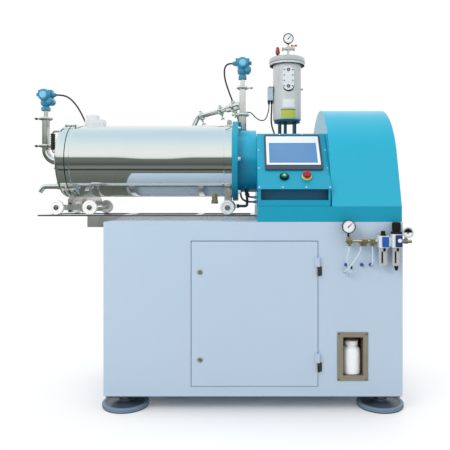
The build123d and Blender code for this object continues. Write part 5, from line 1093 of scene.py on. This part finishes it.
# The underside of the vessel's rim is painted dark steel as shade.
rim_underside_shade = (dark_steel, (90, 0, TANK_TOP - 13.5), (310, 215, TANK_TOP - 11.5))
piece(
    "tank_vessel", tank_shapes, "machine", hammered, ["tank_body"], ease=0.8,
    areas=[rim_underside_shade],
)
SIGHT = (203, 1668)
black_plastic = finish(
    "black_plastic", (0.006, 0.006, 0.007), (0.011, 0.011, 0.012), (0.5, 0.6), relief=0.04,
    also={"Specular IOR Level": 0.25},
)
PORT_RISE = 46
sight_front = TANK[1] - TANK_RADIUS - 6
sight_shapes = [slab(rounded(SIGHT, 64, 134, 31.9, 14), sight_front, 9, "y")]
pale_plate = finish("pale_plate", (0.62, 0.66, 0.68), (0.70, 0.73, 0.74), patch=30.0)
piece("sight_plate", sight_shapes, "machine", pale_plate, ["tank_body"], ease=1.0)
# A black slab behind the sight plate, set a little low, is painted shadow round the plate's lower edge;
# the black rings round the two sight windows are real.
sight_shadow_outline = rounded((SIGHT[0] + 1, SIGHT[1] - 6), 62, 136, 30.9, 14)
shadow_and_eye_shapes = [slab(sight_shadow_outline, sight_front + 3, 6, "y")]
eye_outline = [(4.5, 0), (9, 0), (9, 2), (7.5, 3.2), (4.5, 3.2)]
for rise in (-PORT_RISE, PORT_RISE):
    shadow_and_eye_shapes.append(spun(eye_outline, (SIGHT[0], sight_front, SIGHT[1] + rise), FRONT, 32))
piece("sight_shadow_and_eyes", shadow_and_eye_shapes, "machine", black_plastic, ["tank_body"], ease=0.3)
sight_screws = ("machine", black_plastic, "black_plastic")
for hand, x in (("left", SIGHT[0] - 24), ("right", SIGHT[0] + 24)):
    at = (x, sight_front, SIGHT[1] - 45)
    fasteners("sight_screws_" + hand, 4, (3.4, 3), at, FRONT, *sight_screws, pitch=(0, 30, 0))


def wrapped(low_x, high_x, low_z, high_z, steps=14, thick=0.9):
    """A thin plate bent round the front of the tank, between two corners seen from the front."""
    shape = bmesh.new()
    ends = [math.asin((x - TANK[0]) / TANK_RADIUS) for x in (low_x, high_x)]
    layers = []
    for radius in (TANK_RADIUS, TANK_RADIUS + thick):
        rows = []
        for z in (low_z, high_z):
            angles = [ends[0] + (ends[1] - ends[0]) * step / steps for step in range(steps + 1)]
            spots = [(TANK[0] + radius * math.sin(a), TANK[1] - radius * math.cos(a), z) for a in angles]
            rows.append([shape.verts.new(Vector(spot) * MM) for spot in spots])
        layers.append(rows)
    (inner_low, inner_high), (outer_low, outer_high) = layers
    for low, high in (*layers, (inner_low, outer_low), (inner_high, outer_high)):
        bridged(shape, low, high, closed=False)
    for end in (0, -1):
        shape.faces.new((inner_low[end], inner_high[end], outer_high[end], outer_low[end]))
    return outward(shape)


paper_white = finish("plate_white", (0.70, 0.71, 0.70), (0.76, 0.77, 0.76), patch=30.0)
plate_yellow = finish("plate_yellow", (0.42, 0.47, 0.06), (0.50, 0.54, 0.09), patch=30.0)
for row, corners, made in (
    ("upper", (172, 238, 1506, 1551), paper_white),
    ("lower", (163, 243, 1445, 1492), plate_yellow),
):
    piece("blank_plate_" + row, [wrapped(*corners)], "machine", made, [], ease=0)
edge_shapes = [wrapped(163, 243, 1492, 1496, thick=1.4)]
piece("plate_edge", edge_shapes, "machine", black_rubber, [], ease=0)
lid_outline = [
    (0, 0), (100.4, 0), (101.8, 1.4), (102, 5), (102, 20), (100, 25), (94, 30), (70, 36), (0, 36),
]
polished = finish(
    "turned_aluminium", (0.50, 0.52, 0.53), (0.58, 0.60, 0.61), (0.22, 0.32), patch=20.0, metal=0.8,
)
piece(
    "tank_cover", [spun(lid_outline, (*TANK, TANK_TOP), UP, 96)], "machine", polished, ["tank_lid"],
)
stand_teal = finish("stand_paint", (0.0, 0.045, 0.085), (0.0, 0.065, 0.115), (0.3, 0.42))
dressed("tank_stand", stand_teal, ease=1.0)
red_grip = finish("red_grip", (0.34, 0.02, 0.025), (0.43, 0.035, 0.035))
box_grey = finish("box_grey", (0.40, 0.50, 0.56), (0.46, 0.56, 0.62))
fitting_areas = [
    (red_grip, (134, 90, LID_TOP + 24), (162, 130, LID_TOP + 64)),
    (dark_steel, (134, 90, LID_TOP), (162, 130, LID_TOP + 24)),
    (box_grey, (88, 80, 1553.5), (123, 140, 1628)), (black_plastic, (88, 100, 1525), (123, 120, 1553.4)),
    (brass, (171, 95, 1838), (183, 125, 1862)), (brass, (233, 95, 1838), (245, 125, 1862)),
]
dressed("tank_fittings", satin_steel, ease=0.5, areas=fitting_areas)
bracket = [block((94, 82, 1627), (126, 138, 1630.5)), block((121.5, 82, 1590), (124, 138, 1630))]
piece("box_bracket", bracket, "machine", dark_steel, [], ease=0.5)
dressed("tank_cock_lever", red_grip, ease=0.5)

# Pressure gauges: pressed steel cases with white dials, printed marks and a needle. The one at
# the air inlet has a pale case and a dark band across its dial.
gauge_case = finish(
    "gauge_case", (0.035, 0.038, 0.042), (0.06, 0.065, 0.07), (0.2, 0.3), patch=40.0, metal=0.8,
)
dial_white = finish("dial_white", (0.72, 0.75, 0.77), (0.80, 0.82, 0.83), (0.15, 0.25), patch=40.0)
GAUGES = {"tank": ((208, 100, 1908), 30, 40), "air": ((440, -494, 868), 31.5, 46)}
GAUGES["inlet"] = ((706, -516, 842), 25, 20)
pale_case = finish("pale_case", (0.42, 0.45, 0.48), (0.50, 0.53, 0.56), (0.25, 0.35), patch=40.0)
gauge_areas = [(pale_case, (676, -535, 812), (736, -498, 872))]
dial_marks = ("machine", black_plastic, "gauge_case")
needle_shapes = []
for name, ((x, y, z), radius, lean) in GAUGES.items():
    dial = y + 1.5
    reach = radius - 3.8
    gauge_areas.append(
        (dial_white, (x - reach, dial - 0.2, z - reach), (x + reach, dial + 0.3, z + reach))
    )
    way = Vector((math.sin(math.radians(lean)), 0, math.cos(math.radians(lean))))
    side = Vector((way.z, 0, -way.x))
    hub = Vector((x, 0, z))
    spots = [hub - way * 7 + side * 1.8, hub + way * (reach - 5) + side * 0.8]
    spots += [hub + way * (reach - 5) - side * 0.8, hub - way * 7 - side * 1.8]
    needle_shapes.append(slab([(spot.x, spot.z) for spot in spots], dial - 1.6, 0.6, "y"))
    needle_shapes.append(rod((x, dial, z), FRONT, 2.6, 2.2, 24))
    at = (x, dial, z)
    fasteners(name + "_dial_marks", 24, (0.9, 0.4), at, FRONT, *dial_marks, ring=reach - 2.5, sides=4)
inlet_x, inlet_y, inlet_z = GAUGES["inlet"][0]
BAND_RADIUS = 18.5
half_turn = [math.pi * step / 20 for step in range(21)]
band = [(inlet_x + BAND_RADIUS * math.cos(a), inlet_z + BAND_RADIUS * math.sin(a)) for a in half_turn]
needle_shapes.append(slab(band, inlet_y + 0.9, 0.6, "y"))
dressed("pressure_gauges", gauge_case, ease=0.5, areas=gauge_areas)
piece("gauge_needles", needle_shapes, "machine", black_plastic, [], ease=0)

# Compressed air unit: brass tees with plated couplings, white die-cast bodies with blue covers,
# silver bowls with a black slot and button, and a ribbed black knob over a black collar.
coupling_areas = [
    (bright_zinc, (425, -500, 777), (580, -460, 787.5)),
    (bright_zinc, (562, -500, 785), (578, -460, 815)),
]
dressed("air_manifold", brass, ease=0.5, areas=coupling_areas)
unit_white = finish("unit_white", (0.66, 0.70, 0.73), (0.72, 0.76, 0.78), (0.28, 0.36))
unit_blue = finish("unit_blue", (0.01, 0.08, 0.36), (0.015, 0.10, 0.42), (0.28, 0.36))
unit_navy = finish("unit_navy", (0.01, 0.03, 0.13), (0.015, 0.04, 0.17), (0.28, 0.36))
rosy_steel = finish("rosy_steel", (0.66, 0.55, 0.50), (0.76, 0.66, 0.61), (0.2, 0.32), metal=1.0)
AIR_Y = -480
LUBRICATOR_X = 601
FILTER_X = 662
unit_areas = [
    (unit_blue, (LUBRICATOR_X - 12, AIR_Y - 32, 774), (LUBRICATOR_X + 21, AIR_Y - 26.2, 823)),
    (unit_navy, (FILTER_X - 12, AIR_Y - 32, 774), (FILTER_X + 21, AIR_Y - 26.2, 831)),
    (black_plastic, (LUBRICATOR_X - 14, AIR_Y - 14, 826.2), (LUBRICATOR_X + 14, AIR_Y + 14, 849)),
    (black_plastic, (FILTER_X - 27, AIR_Y - 27, 834.2), (FILTER_X + 27, AIR_Y + 27, 849)),
    (rosy_steel, (FILTER_X + 25, AIR_Y - 13, 785), (FILTER_X + 72, AIR_Y + 13, 820)),
]
dressed("air_unit", unit_white, ease=0.8, areas=unit_areas)
silver_bowl = finish("silver_bowl", (0.60, 0.62, 0.63), (0.70, 0.72, 0.73), (0.2, 0.3), metal=0.4)
drain_area = (black_plastic, (FILTER_X - 10, AIR_Y - 10, 660), (FILTER_X + 10, AIR_Y + 10, 687.9))
dressed("air_bowls", silver_bowl, ease=0.8, areas=[drain_area])
bowl_marks = []
for x in (LUBRICATOR_X, FILTER_X):
    bowl_marks.append(block((x - 12, AIR_Y - 21.4, 701), (x - 5.5, AIR_Y - 12, 754)))
    bowl_marks.append(block((x - 5, AIR_Y - 25, 755), (x + 6, AIR_Y - 14, 770)))
piece("bowl_marks", bowl_marks, "machine", black_plastic, [], ease=1.2)
dial_at = (FILTER_X + 7, AIR_Y - 31, 805)
small_dial = spun([(0, 0), (9, 0), (9, 3), (7.5, 4), (7, 3), (0, 3)], dial_at, FRONT, 40)
piece("filter_dial", [small_dial], "machine", dial_white, [], ease=0.3)
dressed("regulator_knob", black_plastic, ease=0.4)
bulkhead_blue = finish("bulkhead_blue", (0.01, 0.06, 0.30), (0.02, 0.08, 0.36))
bulkhead_areas = [
    (black_plastic, (455, -458, 667), (464, -449, 685)), (box_grey, (410, -458, 630), (465, -449, 668.5)),
]
dressed("air_bulkheads", bulkhead_blue, ease=0.4, areas=bulkhead_areas)

# Operator panel: a dark bezel round a lit screen in a white frame, a green start button in a
# black collar, a red mushroom button on a yellow ring, and white screws round the panel's edge.
PANEL_FOOT = Vector((195.5, -450, 1043))
PANEL_DEEP = 245
PANEL_RISE = 287
panel_up = Vector((0, PANEL_DEEP, PANEL_RISE)).normalized()
panel_out = Vector(RIGHT).cross(panel_up)
panel_turn = Matrix((Vector(RIGHT), panel_up, panel_out)).transposed()


def on_panel(across, up, out=0.0):
    """The place in mm of a point of the console's face."""
    return PANEL_FOOT + panel_turn @ Vector((across, up, out))


def panel_plate(outline, foot, thick):
    """A plate in mm lying on the console's face."""
    shape = slab(outline, foot, thick, "z")
    place = Matrix.Translation(PANEL_FOOT * MM) @ panel_turn.to_4x4()
    bmesh.ops.transform(shape, matrix=place, verts=shape.verts)
    return shape


bezel_grey = finish("bezel_grey", (0.03, 0.045, 0.07), (0.045, 0.06, 0.09))
dressed("hmi_panel", bezel_grey, ease=0.8)
frame_white = finish("screen_frame", (0.70, 0.74, 0.80), (0.76, 0.80, 0.85), (0.15, 0.22))
header_white = finish("screen_header", (0.62, 0.68, 0.72), (0.70, 0.75, 0.78), (0.15, 0.22))
screen_blue = finish("screen_blue", (0.085, 0.215, 0.43), (0.105, 0.245, 0.46), (0.12, 0.18), patch=9.0)
SCREEN_AT = (3.5, 247.5)
frame_shape = panel_plate(rounded(SCREEN_AT, 263, 199, 2), 7.5, 1.9)
piece("screen_frame", [frame_shape], "machine", frame_white, [], ease=0.3)
for part, middle, height, thick, made in (
    ("header", 325, 36, 0.4, header_white),
    ("picture", 230, 139, 0.5, screen_blue),
):
    lit_shape = panel_plate(rounded((SCREEN_AT[0], middle), 236, height, 1), 9.3, thick)
    piece("screen_" + part, [lit_shape], "machine", made, [], ease=0)
START_AT = (-46, 75)
ESTOP_AT = (61, 75)
green_lens = finish("green_lens", (0.0, 0.13, 0.07), (0.0, 0.18, 0.095), (0.18, 0.26))
green_highlight = finish("green_highlight", (0.18, 0.62, 0.38), (0.24, 0.70, 0.44), (0.18, 0.26))
dressed("start_button", green_lens, ease=0.8)
lens_top = max((spot.co / MM - PANEL_FOOT).dot(panel_out) for spot in nodes["start_button"].data.vertices)
# A lighter green disc on the lens is a painted highlight.
highlight_outline = [(0, -0.5), (7, -0.5), (7, 0.4), (6.4, 0.8), (0, 0.8)]
highlight_disc = spun(highlight_outline, on_panel(*START_AT, lens_top), panel_out, 40)
piece("start_highlight", [highlight_disc], nodes["start_button"]["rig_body"], green_highlight, [], ease=0)
collar = spun([(15.4, 0), (22, 0), (22, 8), (20, 11), (15.4, 11)], on_panel(*START_AT), panel_out, 56)
piece("start_collar", [collar], "machine", black_plastic, [], ease=0.6)
red_knob = finish("red_knob", (0.27, 0.006, 0.012), (0.33, 0.010, 0.018), (0.12, 0.18))
dressed("estop_button", red_knob, ease=0.8)
ring_yellow = finish("ring_yellow", (0.72, 0.60, 0.10), (0.78, 0.66, 0.14))
stop_ring = spun(
    [(9, 0), (23.6, 0), (23.6, 3.9), (23.2, 4.3), (9, 4.3)], on_panel(*ESTOP_AT), panel_out, 56,
)
piece("stop_ring", [stop_ring], "machine", ring_yellow, [], ease=0)
panel_screws = ("machine", white_cap, "cap_plastic")
for row, start, count, pitch in (
    ("bottom", (-166, 10), 4, (110.6, 0, 0)),
    ("left", (-166, 134), 2, (0, 124, 0)),
    ("right", (166, 134), 2, (0, 124, 0)),
    ("top", (-58, 370), 2, (116, 0, 0)),
):
    at = on_panel(*start)
    fasteners("console_screws_" + row, count, (3.3, 2.2), at, panel_out, *panel_screws, pitch=pitch)


# Working parts inside: a cast motor, turned pulleys and shaft, hardened pins, and rubber belts.
# All but the motor keep the plain mesh of their CAD nodes, as the housing and the barrel hide them.
def coated(node, made):
    """A CAD node that keeps its own mesh and gets its finish."""
    nodes[node].data.materials.clear()
    nodes[node].data.materials.append(made)


cast_grey = finish("motor_grey", (0.10, 0.12, 0.13), (0.14, 0.16, 0.17), (0.45, 0.6), relief=0.15)
hard_steel = finish("hard_steel", (0.36, 0.37, 0.38), (0.46, 0.47, 0.48), (0.2, 0.32), metal=1.0)
dressed("motor", cast_grey, ease=1.5)
for node in ("motor_pulley", "drive_pulley"):
    coated(node, dark_steel)
coated("drive_belts", black_rubber)
for node in (
    "main_shaft", "bearing_outer_rings", "bearing_inner_rings", "mechanical_seal", "pin_rotor",
    "chamber_liner", "static_pins", "separator_screen",
):
    coated(node, hard_steel)


# Cables and hoses: black sheathed cables between the transmitters and their sockets, thin hoses
# at the tank and the seal, and clear tubes on the air unit, each hanging along its own route.
black_sheath = finish(
    "black_sheath", (0.02, 0.02, 0.022), (0.035, 0.035, 0.037), (0.4, 0.52), relief=0.04,
)
clear_tube = finish("clear_tube", (0.50, 0.60, 0.68), (0.58, 0.67, 0.74), (0.2, 0.3))


def cord(
    name, points, diameter, node, body="machine", made=black_sheath,
):
    """A cord as one smooth spline on its route's points in mm."""
    line = bpy.data.curves.new(name, "CURVE")
    line.dimensions = "3D"
    spline = line.splines.new("NURBS")
    spline.points.add(len(points) - 1)
    for spot, point in zip(spline.points, points):
        spot.co = (*(Vector(point) * MM), 1)
    spline.order_u = 3
    spline.use_endpoint_u = True
    line.resolution_u = 10
    line.bevel_depth = diameter / 2 * MM
    line.bevel_resolution = 5
    line.use_fill_caps = True
    line.materials.append(made)
    item = placed(name, line)
    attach(item, body)
    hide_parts(node)


GLAND_REACH = 56
GLAND_RISE = 88
gland_height = END_TRANSMITTER_Z + GLAND_RISE
coated("cable_plug", black_plastic)
barrel_route = [
    (RISER_X + GLAND_REACH, 0, gland_height), (-1046, 0, gland_height), (-1016, 14, 1558),
    (-994, 42, 1536), (-977, 88, 1500), (-964, 142, 1450), (-953, 190, 1386), (-942, 221, 1308),
    (-924, 238, 1232), (-888, 243, 1172), (-828, 240, 1140), (-755, CABLE_Y, CLIP_Z),
    (-685, CABLE_Y, CLIP_Z), (-640, 238, 1118), (-565, 238, 1118), (-520, CABLE_Y, CLIP_Z),
    (-450, CABLE_Y, CLIP_Z), (-405, 238, 1120), (-340, 238, 1120), (-295, CABLE_Y, CLIP_Z),
    (-228, CABLE_Y, CLIP_Z), (-195, SOCKET_Y, SOCKET_Z), (-165, SOCKET_Y, SOCKET_Z),
]
cord("barrel_lead", barrel_route, 9, "barrel_cable", "barrel")
neck_gland = NECK_TRANSMITTER_Z + GLAND_RISE
neck_route = [
    (NECK_RISER_X - GLAND_REACH, 0, neck_gland), (-128, 0, neck_gland), (-147, 3, 1727), (-154, 8, 1696),
    (-149, 14, 1655), (-136, 26, 1612), (-118, 48, 1566), (-98, 88, 1520), (-80, 132, 1465),
    (-68, 172, 1402), (-60, 203, 1335), (-56, 223, 1270), (-52, 235, 1222), (-43, 238, 1190),
    (-24, 238, 1172), (0, 238, 1172),
]
cord("neck_lead", neck_route, 9, "neck_cable")
tank_hose_route = [
    (NECK_RISER_X + 28, 0, NIPPLE_Z), (-6, 0, NIPPLE_Z), (14, 10, 1450), (36, 28, 1435), (58, 48, 1432),
    (76, 72, 1442), (90, 96, 1474), (97, 108, 1506), (98, 110, 1520), (98, 110, 1532),
]
cord("tank_hose", tank_hose_route, 6, "tank_lines")
switch_route = [
    (114, 110, 1532), (114, 110, 1502), (110, 109, 1456), (113, 107, 1412), (124, 106, 1380),
    (130, 106, 1360), (130, 106, 1340),
]
cord("switch_lead", switch_route, 9, "tank_lines")
seal_near_route = [stubs[0], (*STUB_PLACES[0], 1012), (-50, -61, 990), (-22, -62, 979), (8, -62, 979)]
cord("seal_hose_near", seal_near_route, 10, "seal_hoses")
seal_far_route = [
    stubs[1], (*STUB_PLACES[1], 1030), (-27, -96, 1013.5), (-10.5, -96, 1004), (8, -96, 1004),
]
cord("seal_hose_far", seal_far_route, 10, "seal_hoses")
air_routes = {
    "gauge_tube": [
        (444, -480, 778), (444, -480, 764), (438, -481, 742), (433, -482, 716), (436, -482, 694),
        (446, -482, 674), (452, -482, 660), (453, -477, 648), (454, -467.6, 641), (454, -456, 641),
    ],
    "side_tube": [
        (497, -480, 778), (497, -480, 760), (488, -484, 742), (475, -490, 724), (458, -495, 702),
        (444, -495, 682), (432, -488, 668), (425, -478, 662), (423, -467.6, 660), (423, -456, 660),
    ],
    "right_tube": [
        (552, -480, 778), (552, -480, 752), (551.5, -487, 722), (550, -490, 702.6),
        (549.3, -484.6, 693.4), (549, -474.4, 688), (549, -464, 688),
    ],
}
for (tube, route), length in zip(air_routes.items(), (158, 169, 108)):
    cord(tube, route, 6, "air_tubes", made=clear_tube)
